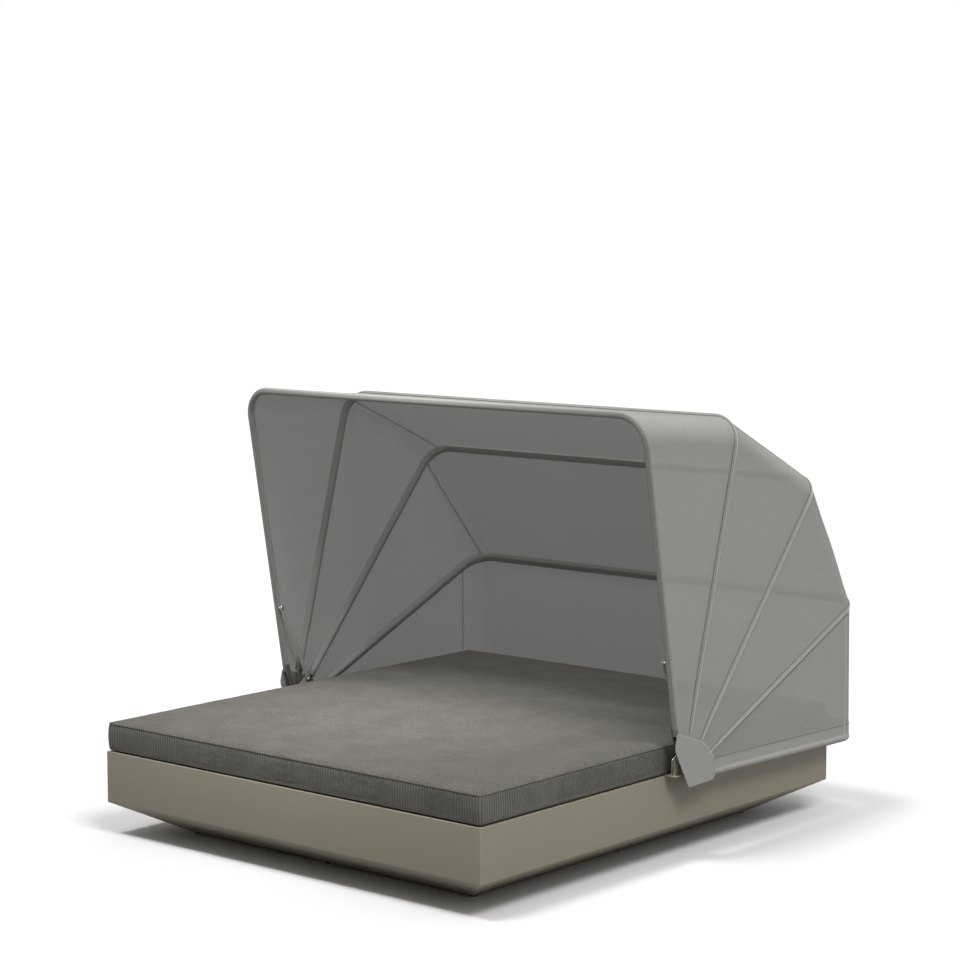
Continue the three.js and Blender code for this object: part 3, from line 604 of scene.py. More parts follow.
def lattice_slab(half_x, half_y, low, high, radius, step, levels):
    """A closed slab as an even lattice: top and bottom grids, and the sides between them. In each
    corner the square cells are drawn in to a quarter disc: dx·sqrt(1 - dy²/2) by dy·sqrt(1 - dx²/2)."""
    along_x = np.linspace(-half_x, half_x, int(round(2 * half_x / step)) + 1)
    along_y = np.linspace(-half_y, half_y, int(round(2 * half_y / step)) + 1)
    x, y = np.meshgrid(along_x, along_y, indexing="ij")

    def rounded(x, y):
        dx = np.clip((abs(x) - (half_x - radius)) / radius, 0, 1)
        dy = np.clip((abs(y) - (half_y - radius)) / radius, 0, 1)
        inside = (dx > 0) & (dy > 0)
        new_x = np.sign(x) * (half_x - radius + radius * dx * np.sqrt(1 - dy**2 / 2))
        new_y = np.sign(y) * (half_y - radius + radius * dy * np.sqrt(1 - dx**2 / 2))
        return np.where(inside, new_x, x), np.where(inside, new_y, y)

    x, y = rounded(x, y)
    rows, columns = x.shape
    index = np.arange(rows * columns).reshape(rows, columns)
    rim = np.concatenate([index[:-1, 0], index[-1, :-1], index[:0:-1, -1], index[0, :0:-1]])
    flat = np.stack([x, y], axis=-1).reshape(-1, 2)
    levels = low + (high - low) * np.linspace(0, 1, levels + 1)
    sides = np.concatenate([np.column_stack([flat[rim], np.full(len(rim), z)]) for z in levels])
    bottom = np.column_stack([flat, np.full(len(flat), low)])
    top = np.column_stack([flat, np.full(len(flat), high)])
    grid = grid_faces(rows, columns)
    side = grid_faces(len(levels), len(rim), round_columns=True)
    faces = np.concatenate([grid, grid + len(flat), side + 2 * len(flat)])
    return np.concatenate([bottom, top, sides]), faces


def vertices_of(obj):
    flat = np.empty(len(obj.data.vertices) * 3)
    obj.data.vertices.foreach_get("co", flat)
    return flat.reshape(-1, 3)


def set_vertices(obj, points):
    obj.data.vertices.foreach_set("co", points.astype(np.float32).ravel())
    obj.data.update()


def blown_up(obj, held):
    """The cover filled by its foam: a cloth under pressure with its seams held, settled over some
    frames, and then no point further from its start than the most that the foam swells."""
    start = vertices_of(obj)
    group = obj.vertex_groups.new(name="seams")
    group.add(np.flatnonzero(held).tolist(), 1.0, "REPLACE")
    cloth = obj.modifiers.new("cloth", "CLOTH")
    cloth.settings.use_pressure = True
    cloth.settings.uniform_pressure_force = pressure
    cloth.settings.effector_weights.gravity = 0.0
    cloth.settings.vertex_group_mass = "seams"
    cloth.settings.quality = 5
    cloth.point_cache.frame_end = settle_frames
    for number in range(1, settle_frames + 1):
        bpy.context.scene.frame_set(number)
    graph = bpy.context.evaluated_depsgraph_get()
    moved = vertices_of(obj.evaluated_get(graph))
    obj.modifiers.clear()
    obj.vertex_groups.clear()
    bpy.context.scene.frame_set(1)
    travel = moved - start
    length = np.linalg.norm(travel, axis=1, keepdims=True)
    set_vertices(obj, start + travel * np.minimum(1.0, most_swell / np.maximum(length, 1e-9)))


def cover_paint(wire):
    """Mottled two-tone weave: blotches, streaks along the weft and a fine slubby thread."""
    place = wire.on_object()
    blotch = place.cloud(7.0, 5.0).rise(0.3, 0.7)
    streak = place.stretched(9.0, 95.0, 60.0).cloud(1.0, 4.0).rise(0.3, 0.7)
    speck = place.stretched(95.0, 120.0, 110.0).cloud(1.0, 3.0).rise(0.3, 0.7)
    x, y, _ = place.parts()
    threads = x.waves_of(thread_pitches[0]) * y.waves_of(thread_pitches[1])
    mixed = blotch * 0.22 + streak * 0.2 + speck * 0.4 + threads * 0.24 + 0.09
    tone = mixed.blend(cover_dark, cover_light)
    return {
        "Base Color": tone,
        "Roughness": 0.85 + streak * 0.1,
        "Specular IOR Level": 0.2,
        "Sheen Weight": 0.12,
        "Sheen Roughness": 0.5,
        "Normal": (threads * 0.3 + speck).bump(0.0007, 0.55),
    }


def band_paint(wire):
    """Ribbed side band: the same yarn, a shade darker, with painted highlight on the rib crowns
    and painted shade in the valleys.
    """
    place = wire.on_object()
    run, height, _ = wire.on_flat().parts()
    wander = place.cloud(14.0, 1.0) * 5.0
    rib = (run * (2 * math.pi / rib_pitch) + wander).wave().rise(-1.0, 0.7)
    knit = (height * (2 * math.pi / knit_pitch) + run * (math.pi / rib_pitch) + wander).wave()
    speck = place.stretched(300.0, 300.0, 200.0).cloud(1.0, 2.0).rise(0.25, 0.75)
    blotch = place.cloud(11.0, 4.0).rise(0.3, 0.7)
    # the rib term paints the crowns paler and the valleys darker: painted highlight and painted shade
    mixed = speck * 0.16 + blotch * 0.16 + rib * (knit * 0.16 + 0.56)
    dark = toned(band_tone, 0.52)
    light = toned(band_tone, 1.55)
    return {
        "Base Color": mixed.blend(dark, light),
        "Roughness": 0.9,
        "Specular IOR Level": 0.2,
        "Sheen Weight": 0.1,
        "Normal": speck.bump(0.0005, 0.5),
    }


def thread_paint(wire):
    twist = wire.on_object().cloud(700.0)
    return {
        "Base Color": twist.blend(toned(stitch_tone, 0.7), stitch_tone),
        "Roughness": 0.85,
    }


def cord_paint(wire):
    """The seam's cord, with a dark stitch and a paler gap by turns along its run."""
    run, _, _ = wire.on_flat().parts()
    dash = run.waves_of(stitch_pitch).rise(-0.8, 0.0)
    return {"Base Color": dash.blend(band_tone, stitch_tone), "Roughness": 0.85}


def laid_out(obj, flat_places):
    """The sheet's flat places, in metres, as its UV map: one for each vertex, or for each loop."""
    layer = obj.data.uv_layers.new(name="flat")
    flat_places = flat_places.reshape(-1, 2)
    if len(flat_places) != len(obj.data.loops):
        corner = np.empty(len(obj.data.loops), int)
        obj.data.loops.foreach_get("vertex_index", corner)
        flat_places = flat_places[corner]
    layer.data.foreach_set("uv", flat_places.astype(np.float32).ravel())


def area_of(obj):
    return sum(face.area for face in obj.data.polygons)


def met_by(obj, starts, way):
    """Where rays from some starts, all going one way, first meet an object."""
    faces = [tuple(face.vertices) for face in obj.data.polygons]
    tree = BVHTree.FromPolygons(vertices_of(obj).tolist(), faces)
    way = Vector(way)
    return np.array([tree.ray_cast(Vector(start), way)[0] for start in starts.tolist()])


def stitch_row(name, places, out, length, thickness, material):
    """A row of raised stitches on a seam: each one a short thread that dips at both ends."""
    run = np.roll(places, -1, axis=0) - np.roll(places, 1, axis=0)
    run[[0, -1]] = run[[1, -2]]
    run /= np.linalg.norm(run, axis=1, keepdims=True)
    beside = np.cross(out, run)
    along = np.array([-0.5, -0.32, 0.32, 0.5]) * length
    width = np.array([0.0, 1.0, 1.0, 0.0]) * thickness
    turn = np.arange(6) * math.pi / 3
    points = (
        places[:, None, None]
        + run[:, None, None] * along[None, :, None, None]
        + beside[:, None, None] * (width[:, None] * np.cos(turn))[None, ..., None]
        + out[:, None, None] * (width[:, None] * (np.sin(turn) + 0.4))[None, ..., None]
    )
    one = grid_faces(len(along), len(turn), round_columns=True)
    first = len(along) * len(turn) * np.arange(len(places))
    faces = (one[None] + first[:, None, None]).reshape(-1, 4)
    return surface(name, points, faces, material)


def perimeter(half_x, half_y, radius, count):
    """Evenly spaced places round a rounded rectangle, with the way that each faces and the length of
    the run."""
    x, y, facing = rounded_ring(half_x, half_y, radius, 12)
    x, y = np.append(x, x[0]), np.append(y, y[0])
    facing = np.append(facing, 2 * math.pi)
    run = np.concatenate([[0], np.cumsum(np.hypot(np.diff(x), np.diff(y)))])
    at = np.arange(count) / count * run[-1]
    turn = np.interp(at, run, facing)
    return np.interp(at, run, x), np.interp(at, run, y), turn, run[-1]


def drawn_in(x, y):
    """How far the long sides are pulled in between the corners, as a share of the most."""
    along_side = np.where(abs(x) > abs(y) * mattress_x / mattress_y, y / mattress_y, x / mattress_x)
    return np.cos(along_side * math.pi / 2)


cover_finish = finish_named("mottled_weave", cover_paint)
band_finish = finish_named("ribbed_band", band_paint)
thread_finish = finish_named("dark_thread", thread_paint)
cord_finish = finish_named("seam_cord", cord_paint)
cover_x = mattress_x + cover_spread
cover_y = mattress_y + cover_spread
body_x = cover_x - band_stand
body_y = cover_y - band_stand
mattress_top = mattress_bottom + mattress_height
slab_points, slab_faces = lattice_slab(
    body_x, body_y, mattress_bottom, mattress_top, mattress_corner, lattice_step, side_steps
)
mattress = surface("mattress", slab_points, slab_faces, cover_finish)
rest_points = vertices_of(mattress)
x, y, z = rest_points.T
on_edge = (abs(x) > body_x - mattress_corner) | (abs(y) > body_y - mattress_corner)
underneath = z < mattress_bottom + level_slack
blown_up(mattress, (on_edge & (z > mattress_top - level_slack)) | underneath)
shaped(mattress, "SUBSURF", levels=1, render_levels=1)
cover_points = vertices_of(mattress)
x, y, z = cover_points.T
edge_gap = np.minimum(body_x - abs(x), body_y - abs(y))
is_top = z > mattress_top - top_zone
inward = np.clip(edge_gap / crown_reach, 0, 1)
puckers = np.sin(x / 0.0073 + 1.3 * np.sin(y / 0.11)) * np.sin(y / 0.0081 + 1.1 * np.sin(x / 0.13))
waves = np.sin(x / 0.083 + 1.7 * np.sin(y / 0.21)) * np.sin(y / 0.097 + np.sin(x / 0.17 + 0.8))
ripples = np.sin(x / 0.031 + 2.0 * np.sin(y / 0.057)) * np.sin(y / 0.043 + 1.4)
lift = crown * (1 - (1 - inward) ** 3) + wave_height * waves * np.clip(edge_gap / wave_reach, 0, 1)
lift += ripple_height * ripples + pucker_height * puckers * np.exp(-edge_gap / pucker_reach)
lift -= edge_drop * np.exp(-((edge_gap / edge_reach) ** 2))
z += np.where(is_top, lift, 0.0)
set_vertices(mattress, cover_points)
mattress.data.shade_smooth()
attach(mattress, "base")
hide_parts("mattress_cover")

ring_length = perimeter(cover_x, cover_y, mattress_corner, 8)[3]
rib_count = int(ring_length / rib_pitch)
x, y, turn, _ = perimeter(cover_x, cover_y, mattress_corner, 4 * rib_count)
rise = (1 - np.cos(np.linspace(0, math.pi, band_rows + 1))) / 2
arch = np.sin(rise * math.pi)[:, None]
rib = np.cos(np.arange(4 * rib_count) * math.pi / 2)[None, :]
out = band_bulge * arch**0.6 - band_seat + rib_height * rib * arch**0.35
out = out - band_draw * drawn_in(x, y)[None, :] * arch
out += band_wobble * (np.sin(x / 0.061 + y / 0.073) * np.sin(y / 0.19 + 1.0))[None, :] * arch
band_points = np.stack(
    [
        x[None, :] + np.cos(turn)[None, :] * out,
        y[None, :] + np.sin(turn)[None, :] * out,
        np.broadcast_to(mattress_bottom + band_foot + band_height * rise[:, None], out.shape),
    ],
    axis=-1,
)
band = surface(
    "mattress_band",
    band_points,
    grid_faces(*out.shape, round_columns=True),
    band_finish,
    closed=False,
    smooth=60.0,
)
columns = out.shape[1]
face_column = np.tile(np.arange(columns), band_rows)[:, None]
face_row = np.repeat(np.arange(band_rows), columns)[:, None]
corner_run = (face_column + np.array([0, 1, 1, 0])) * ring_length / columns
corner_rise = rise[face_row + np.array([0, 0, 1, 1])] * mattress_height
laid_out(band, np.stack([corner_run, corner_rise], axis=-1))
shaped(band, "SOLIDIFY", thickness=band_thickness, offset=-1.0)
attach(band, "base")

stitch_count = int(ring_length / stitch_pitch)
x, y, turn, _ = perimeter(
    body_x - stitch_inset, body_y - stitch_inset, mattress_corner - stitch_inset, stitch_count
)
above = np.column_stack([x, y, np.full(len(x), ray_start)])
stitch_out = np.column_stack([np.cos(turn), np.sin(turn), np.full(len(x), stitch_tilt)])
stitch_out /= np.linalg.norm(stitch_out, axis=1, keepdims=True)
stitches = stitch_row(
    "mattress_top_stitches",
    met_by(mattress, above, (0, 0, -1)),
    stitch_out,
    stitch_length,
    stitch_thickness,
    thread_finish,
)
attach(stitches, "base")

cord_count = 4 * int(ring_length / cord_spacing)
x, y, turn, _ = perimeter(body_x + cord_stand, body_y + cord_stand, mattress_corner, cord_count)
round_by = np.arange(cord_sides) * math.pi / (cord_sides / 2)
reach = welt_cord * np.cos(round_by)[None, :]
seams = {"top": mattress_top - top_cord_drop, "bottom": mattress_bottom + bottom_cord_rise}
for seam_name, seam_z in seams.items():
    cord_points = np.stack(
        [
            x[:, None] + np.cos(turn)[:, None] * reach,
            y[:, None] + np.sin(turn)[:, None] * reach,
            np.broadcast_to(seam_z + welt_cord * np.sin(round_by), (cord_count, cord_sides)),
        ],
        axis=-1,
    )
    cord_faces = grid_faces(cord_count, cord_sides, round_rows=True, round_columns=True)
    cord = surface(f"mattress_{seam_name}_seam", cord_points, cord_faces, cord_finish)
    run = np.repeat(np.arange(cord_count) * ring_length / cord_count, cord_sides)
    laid_out(cord, np.stack([run, 0 * run], axis=-1))
    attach(cord, "base")


# The zip along the cover's head end: a woven tape over the band, two rows of moulded teeth that
# meet along its middle, and a slider with its pull at one end. The foam slab is inside the cover.
zip_low, zip_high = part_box("mattress_zip")
zip_half = zip_high.x
zip_z = (zip_low.z + zip_high.z) / 2
zip_tape_width = 0.026
zip_tape_thickness = 0.0006
tooth_pitch = 0.003
tooth_size = np.array([0.0019, 0.0012, 0.0040])
teeth_apart = 0.0011
smooth_over = 9
tape_curve = 0.0012
zip_weave = 0.0012
slider_inset = 0.018
slider_stand = 0.0014
slider_size = (0.0085, 0.0045, 0.0115)
slider_edge = 0.001
pull_size = (0.0060, 0.0015, 0.0260)
pull_edge = 0.0006
pull_hang = 0.42
pull_stand = 0.85
block_corner = 0.7


def tape_paint(wire):
    place = wire.on_object()
    weave = place.parts()[0].waves_of(zip_weave)
    return {
        "Base Color": place.cloud(40.0, 3.0).blend(shade(0.04, 0.039, 0.037), shade(0.06, 0.058, 0.055)),
        "Roughness": 0.9,
        "Normal": weave.bump(0.0002, 0.5),
    }


def tooth_paint(wire):
    place = wire.on_object()
    return {
        "Base Color": place.cloud(60.0, 3.0).blend(shade(0.018), shade(0.04)),
        "Roughness": 0.35 + place.cloud(200.0) * 0.2,
    }


def foam_paint(wire):
    """Open-cell foam: fine pores on a cream ground that has yellowed in patches."""
    place = wire.on_object()
    pores = place.cloud(600.0, 3.0).rise(0.35, 0.7)
    aged = place.cloud(4.0, 4.0).rise(0.35, 0.75)
    return {
        "Base Color": (pores * 0.6 + aged * 0.4).blend(shade(0.66, 0.60, 0.46), shade(0.80, 0.76, 0.64)),
        "Roughness": 0.95,
        "Specular IOR Level": 0.1,
        "Normal": pores.bump(0.0008, 0.6),
    }


def boxes(name, middles, size, material):
    """Plain blocks of one size at many middles, as one mesh."""
    corners = np.array([(a, b, c) for a in (-0.5, 0.5) for b in (-0.5, 0.5) for c in (-0.5, 0.5)])
    sides = np.array([(0, 1, 3, 2), (4, 6, 7, 5), (0, 4, 5, 1), (2, 3, 7, 6), (0, 2, 6, 4), (1, 5, 7, 3)])
    points = np.asarray(middles)[:, None] + corners[None] * np.asarray(size)
    first = len(corners) * np.arange(len(middles))
    faces = (sides[None] + first[:, None, None]).reshape(-1, 4)
    return surface(name, points, faces, material)


tape_finish = finish_named("zip_tape", tape_paint)
tooth_finish = finish_named("zip_teeth", tooth_paint)
foam_finish = finish_named("cream_foam", foam_paint)
across = np.linspace(-zip_half, zip_half, 351)
levels = zip_z + zip_tape_width * np.linspace(-0.5, 0.5, 7)
beyond = np.column_stack([across, np.full(len(across), ray_start), np.full(len(across), zip_z)])
seat = np.pad(met_by(band, beyond, (0, -1, 0))[:, 1], smooth_over // 2, mode="edge")
seat = np.convolve(seat, np.ones(smooth_over) / smooth_over, mode="valid") + rib_height
tape_y = seat[None, :] - tape_curve * (2 * (levels[:, None] - zip_z) / zip_tape_width) ** 2
tape_x = np.broadcast_to(across, tape_y.shape)
tape_points = np.stack([tape_x, tape_y, np.broadcast_to(levels[:, None], tape_y.shape)], axis=-1)
zip_tape = surface("zip_tape", tape_points, grid_faces(*tape_y.shape)[:, ::-1], tape_finish, closed=False)
shaped(zip_tape, "SOLIDIFY", thickness=zip_tape_thickness, offset=1.0)
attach(zip_tape, "base")

tooth_x = np.arange(-zip_half + 0.01, zip_half - 0.01, tooth_pitch / 2)
upper_row = np.arange(len(tooth_x)) % 2 * 2 - 1
tooth_places = np.column_stack(
    [
        tooth_x,
        np.interp(tooth_x, across, seat) + zip_tape_thickness + tooth_size[1] / 2,
        zip_z + upper_row * teeth_apart,
    ]
)
teeth = boxes("zip_teeth", tooth_places, tooth_size, tooth_finish)
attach(teeth, "base")
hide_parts("mattress_zip")
slider_x = zip_half - slider_inset
slider_y = float(np.interp(slider_x, across, seat)) + zip_tape_thickness
slider_place = (slider_x, slider_y + slider_stand, zip_z)
slider = boxes("zip_slider", [slider_place], slider_size, tooth_finish)
pull_place = (slider_x, slider_y + slider_size[1] * pull_stand, zip_z - pull_size[2] * pull_hang)
pull = boxes("zip_pull", [pull_place], pull_size, tooth_finish)
for piece, edge in ((slider, slider_edge), (pull, pull_edge)):
    shaped(piece, "BEVEL", width=edge, segments=2, limit_method="ANGLE", angle_limit=block_corner)
    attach(piece, "base")
bevelled_copy("mattress_core", "foam_core", "base", foam_finish, 0.006)


# The five canopy bows: round aluminium tube, powder coated a dark warm grey, bent at two corners.
# A flat lug at each end turns on the hub pin, and all legs point to one line, the fan line.
fan_z = 0.301
hub_y = 0.020
hub_z = 0.327
leg_x = half_width + 0.052
tube_radius = 0.01
bow_corner = 0.105
tube_start = 0.17
lug_overlap = 0.025
lug_thickness = 0.004
lug_pitch = 0.0045
lug_edge = 0.0004
pin_hole = 0.0063
stay_hole = 0.0043
stay_tab = 0.013
tab_overlap = 0.02
stay_y = 0.095
stay_z = 0.300
brace_reach = 0.431
bow_names = ["front_bow", "second_bow", "third_bow", "fourth_bow", "bottom_bow"]
bow_bodies = ["front_bow_body", "second_bow_body", "third_bow_body", "fourth_bow_body", "base"]
bow_angles = np.radians([100.0, 75.0, 49.5, 24.2, -1.0])
bow_reaches = half_depth + 0.123 + np.array([0.169, 0.150, 0.164, 0.097, 0.0])
bar_end_station = 0.41
leg_end_station = 0.49
tube_sides = 32
bow_colour = shade(0.15, 0.15, 0.138)


def bow_line(index, station, offset=0.0, start=tube_start):
    """Places on a line at one offset outside a bow's centre line, and the way out from it. A station
    runs from 1, the right hub end, over the bar's middle at 0, to -1: first the leg, whose distance
    from the fan line grows evenly, then the corner's quarter circle, then the bar."""
    station = np.asarray(station, float)
    side = np.where(station < 0, -1.0, 1.0)
    share = abs(station)
    leg = np.clip((share - leg_end_station) / (1 - leg_end_station), 0, 1)
    bend = np.clip((leg_end_station - share) / (leg_end_station - bar_end_station), 0, 1)
    bar = np.clip(share / bar_end_station, 0, 1)
    turn = bend * math.pi / 2
    middle_r = bow_reaches[index] - bow_corner
    x = side * ((leg_x - bow_corner) * bar + (bow_corner + offset) * np.cos(turn))
    distance = middle_r - (middle_r - start) * leg + (bow_corner + offset) * np.sin(turn)
    way = np.array([0.0, math.cos(bow_angles[index]), math.sin(bow_angles[index])])
    place = np.stack([x, 0 * x, fan_z + 0 * x], axis=-1) + distance[..., None] * way
    outward = np.stack([side * np.cos(turn), 0 * x, 0 * x], axis=-1) + np.sin(turn)[..., None] * way
    return place, outward


def stations_of(leg_steps, bend_steps, bar_steps):
    leg = np.linspace(1, leg_end_station, leg_steps, endpoint=False)
    bend = np.linspace(leg_end_station, bar_end_station, bend_steps, endpoint=False)
    half = np.concatenate([leg, bend, np.linspace(bar_end_station, 0, bar_steps)])
    return np.concatenate([half, -half[-2::-1]])


def ahead_of(index):
    """The way that is square to a bow's plane, towards the opening."""
    return np.array([0.0, -math.sin(bow_angles[index]), math.cos(bow_angles[index])])


def capped_tube(name, middles, first, second, radius, material, sides):
    """A tube: cos·first + sin·second, times its radius, round each middle, with flat ends."""
    turn = np.arange(sides) * 2 * math.pi / sides
    ring = np.cos(turn)[:, None] * first[:, None] + np.sin(turn)[:, None] * second[:, None]
    points = middles[:, None] + radius * ring
    return surface(name, points, capped_faces(len(middles), sides), material)


def plate(name, outline, from_x, to_x, edge, material):
    """A flat plate that faces x: its (y, z) outline at both faces, each edge with a small chamfer."""
    before = np.roll(outline, 1, axis=0)
    after = np.roll(outline, -1, axis=0)
    tangent = after - before
    tangent /= np.linalg.norm(tangent, axis=1, keepdims=True)
    inside = np.stack([-tangent[:, 1], tangent[:, 0]], axis=-1)
    turning = np.sum(before[:, 0] * outline[:, 1] - outline[:, 0] * before[:, 1])
    small = outline + inside * (edge if turning > 0 else -edge)
    rings = [(small, from_x), (outline, from_x + edge), (outline, to_x - edge), (small, to_x)]
    points = np.stack([np.column_stack([np.full(len(r), x), r]) for r, x in rings])
    return surface(name, points, capped_faces(len(rings), len(outline)), material)


def bow_paint(wire):
    """Satin powder coat: fine orange peel and a little dust."""
    place = wire.on_object()
    peel = place.cloud(260.0, 2.0)
    dust = place.cloud(6.0, 4.0).rise(0.4, 0.8)
    dark = toned(bow_colour, 0.92)
    light = toned(bow_colour, 1.25)
    return {
        "Base Color": (dust * 0.6 + peel * 0.3).blend(dark, light),
        "Metallic": 0.15,
        "Roughness": 0.4 + dust * 0.15,
        "Normal": peel.bump(0.0003, 0.3),
    }


def lug_outline(index):
    """A strip round the hub pin that runs to the tube's start and then along the leg."""
    hub = np.array([hub_y, hub_z])
    way = np.array([math.cos(bow_angles[index]), math.sin(bow_angles[index])])
    start = np.array([0.0, fan_z]) + way * tube_start
    end = start + way * lug_overlap
    first = (start - hub) / np.linalg.norm(start - hub)
    bend = (first + way) / np.linalg.norm(first + way)
    left = np.array([[0.0, -1.0], [1.0, 0.0]])
    turn = math.atan2(first[1], first[0]) + np.linspace(math.pi / 2, 3 * math.pi / 2, 17)
    round_end = hub + tube_radius * np.column_stack([np.cos(turn), np.sin(turn)])
    edges = [start - left @ bend * tube_radius, end - left @ way * tube_radius]
    edges += [end + left @ way * tube_radius, start + left @ bend * tube_radius]
    return np.concatenate([round_end, edges])


def tab_outline():
    """A half round about the stay bolt, with straight sides up into the lug."""
    turn = np.linspace(math.pi, 2 * math.pi, 17)
    half_round = np.array([stay_y, stay_z]) + stay_tab * np.column_stack([np.cos(turn), np.sin(turn)])
    top = stay_z + tab_overlap
    return np.concatenate([half_round, [(stay_y + stay_tab, top), (stay_y - stay_tab, top)]])


def joined(obj, other):
    """Joins a second closed piece to an object."""
    shaped(obj, "BOOLEAN", operation="UNION", solver="EXACT", object=other)
    bpy.data.objects.remove(other)


bow_finish = finish_named("bow_powder_coat", bow_paint)
bow_stations = stations_of(6, 22, 4)
for index, bow_name in enumerate(bow_names):
    middles, outward = bow_line(index, bow_stations)
    side = np.broadcast_to(ahead_of(index), outward.shape)
    bow = capped_tube(f"{bow_name}_tube", middles, outward, side, tube_radius, bow_finish, tube_sides)
    lug_out = leg_x + tube_radius - lug_pitch * (len(bow_names) - 1 - index)
    for sign in (1, -1):
        ends = sorted([sign * lug_out, sign * (lug_out - lug_thickness)])
        joined(bow, plate("lug", lug_outline(index), *ends, lug_edge, bow_finish))
        if bow_name == "bottom_bow":
            joined(bow, plate("tab", tab_outline(), *ends, lug_edge, bow_finish))
            low, high = ends[0] - drill_past, ends[1] + drill_past
            cut_through(bow, [drilled(stay_hole, low, high, bow_finish, (stay_y, stay_z), "x")])
        low, high = ends[0] - short_drill_past, ends[1] + short_drill_past
        cut_through(bow, [drilled(pin_hole, low, high, bow_finish, (hub_y, hub_z), "x")])
    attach(bow, bow_bodies[index])
    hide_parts(bow_name)


# The canopy cloth: four panels of woven outdoor mesh, each one sheet from hub to hub that is taut
# between two bows, with welted seams at its corners and its hems turned round the end bows.
cloth_gap = 0.0016
cloth_start = 0.06
sleeve_start = 0.165
roof_sag = 0.007
cloth_thickness = 0.0008
panel_names = ["front_panel", "upper_panel", "rear_panel", "bottom_panel"]
cloth_lie = tube_radius + cloth_gap
outer_tone = shade(0.705, 0.70, 0.665)
# The cloth's inner face is the same mesh painted darker: painted shade of the canopy's inside.
inner_shaded_tone = shade(0.405, 0.405, 0.385)
hem_tone = shade(0.60, 0.595, 0.565)
# The pockets are the same mesh as the panels, painted darker: painted shade of the canopy's inside.
pocket_shaded_tone = shade(0.49, 0.49, 0.468)
cloth_cover = 0.45
doubled_cover = 0.66
sleeve_dip = 0.008
dip_from = 0.006
dip_to = 0.013
corner_fill = 0.85
dip_free = 0.12
dip_fade = 0.2
held_width = 0.022
held_share = 0.14
welt_tone = shade(0.76, 0.76, 0.72)
# A dark tone for the thin line of painted shade at the crease ahead of each middle bow; the bottom hem's
# stitches share it.
fold_shade_and_stitch_tone = shade(0.19, 0.19, 0.18)
ladder_pitch = 0.0085
ladder_rows = 0.0165
weft_pitch = 0.0062
warp_pitch = 0.0030
close_width = 0.024
close_share = 0.42
cut_share = 0.8


def dip_at(distance):
    """How far the cloth drops beside a tube, which stands out in its sleeve: smooth, 3s² - 2s³."""
    share = np.clip((np.asarray(distance, float) - dip_from) / (dip_to - dip_from), 0, 1)
    return sleeve_dip * share * share * (3 - 2 * share)


def reach_of(places):
    """The distance of places from the fan line, about which all the bows turn."""
    return np.hypot(places[..., 1], places[..., 2] - fan_z)


def dip_kept(outward, places):
    """The part of the dip that is left at a place on a bow: little of it in the round corners, and
    none by the hub, where the folded bows come close together."""
    across = abs(outward[..., :1])
    clear_of_hub = np.clip((reach_of(places)[..., None] - dip_free) / dip_fade, 0, 1)
    return clear_of_hub * (1 - corner_fill * 2 * across * np.sqrt(np.clip(1 - across**2, 0, 1)))


def panel_at(index, station, share, lift=0.0):
    """Places and outward ways on a panel: from its upper bow at share 0 to its lower bow at share 1,
    dipped beside both, and drawn in by 4·share·(1 - share) of the sag where it spans the roof."""
    upper, upper_out = bow_line(index, station, cloth_lie, cloth_start)
    lower, lower_out = bow_line(index + 1, station, cloth_lie, cloth_start)
    share = np.asarray(share, float)[..., None]
    nearest = np.linalg.norm(lower - upper, axis=-1, keepdims=True) * np.minimum(share, 1 - share)
    place = upper + (lower - upper) * share
    out = upper_out + (lower_out - upper_out) * share
    out = out / np.linalg.norm(out, axis=-1, keepdims=True)
    free = np.clip(1 - 2 * abs(out[..., :1]), 0, 1)
    dip = dip_at(nearest) * dip_kept(out, place)
    place = place - out * (roof_sag * 4 * share * (1 - share) * free + dip)
    return place + out * lift, out


def panel_rows(index, station):
    """The shares of a panel's rows at each station: close beside both bows, and even between."""
    upper, _ = bow_line(index, station, cloth_lie, cloth_start)
    lower, _ = bow_line(index + 1, station, cloth_lie, cloth_start)
    width = np.linalg.norm(lower - upper, axis=-1)
    near = np.arange(9) / 8 * close_width
    first = near[:, None] * np.minimum(1.0, close_share * width / near[-1]) / width
    middle = np.linspace(first[-1], 1 - first[-1], 18)[1:-1]
    return np.concatenate([first, middle, 1 - first[::-1]])


def thickened(obj, thickness, offset=1.0):
    """Gives a sheet its thickness, by a modifier that stays on it."""
    thick = obj.modifiers.new("thickness", "SOLIDIFY")
    thick.thickness = thickness
    thick.offset = offset
    return thick


def run_along(points):
    """The length of the way along each row of points, from the row's start."""
    run = np.linalg.norm(np.diff(points, axis=1), axis=-1).cumsum(axis=1)
    return np.concatenate([np.zeros((len(run), 1)), run], axis=1)


def direction_of(places):
    """The way that a line of places runs at each of them."""
    run = np.gradient(places, axis=0)
    return run / np.linalg.norm(run, axis=-1, keepdims=True)


def follow_fan(obj, index):
    """Bakes the object's placement into its mesh, and works out each point's share of the way round the
    fan line between the held strips beside its two bows; the share is not kept."""
    on_upper, _ = bow_line(index, 0.0)
    on_lower, _ = bow_line(index + 1, 0.0)
    bow_bodies[index + 1]
    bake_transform(obj)
    points = vertices_of(obj)
    angle = np.arctan2(points[:, 2] - fan_z, points[:, 1])
    width = reach_of(points) * (bow_angles[index] - bow_angles[index + 1])
    held = np.minimum(held_width, held_share * width)
    share = (reach_of(points) * (bow_angles[index] - angle) - held) / (width - 2 * held)
    share = np.clip(share, 0, 1).astype(np.float32)


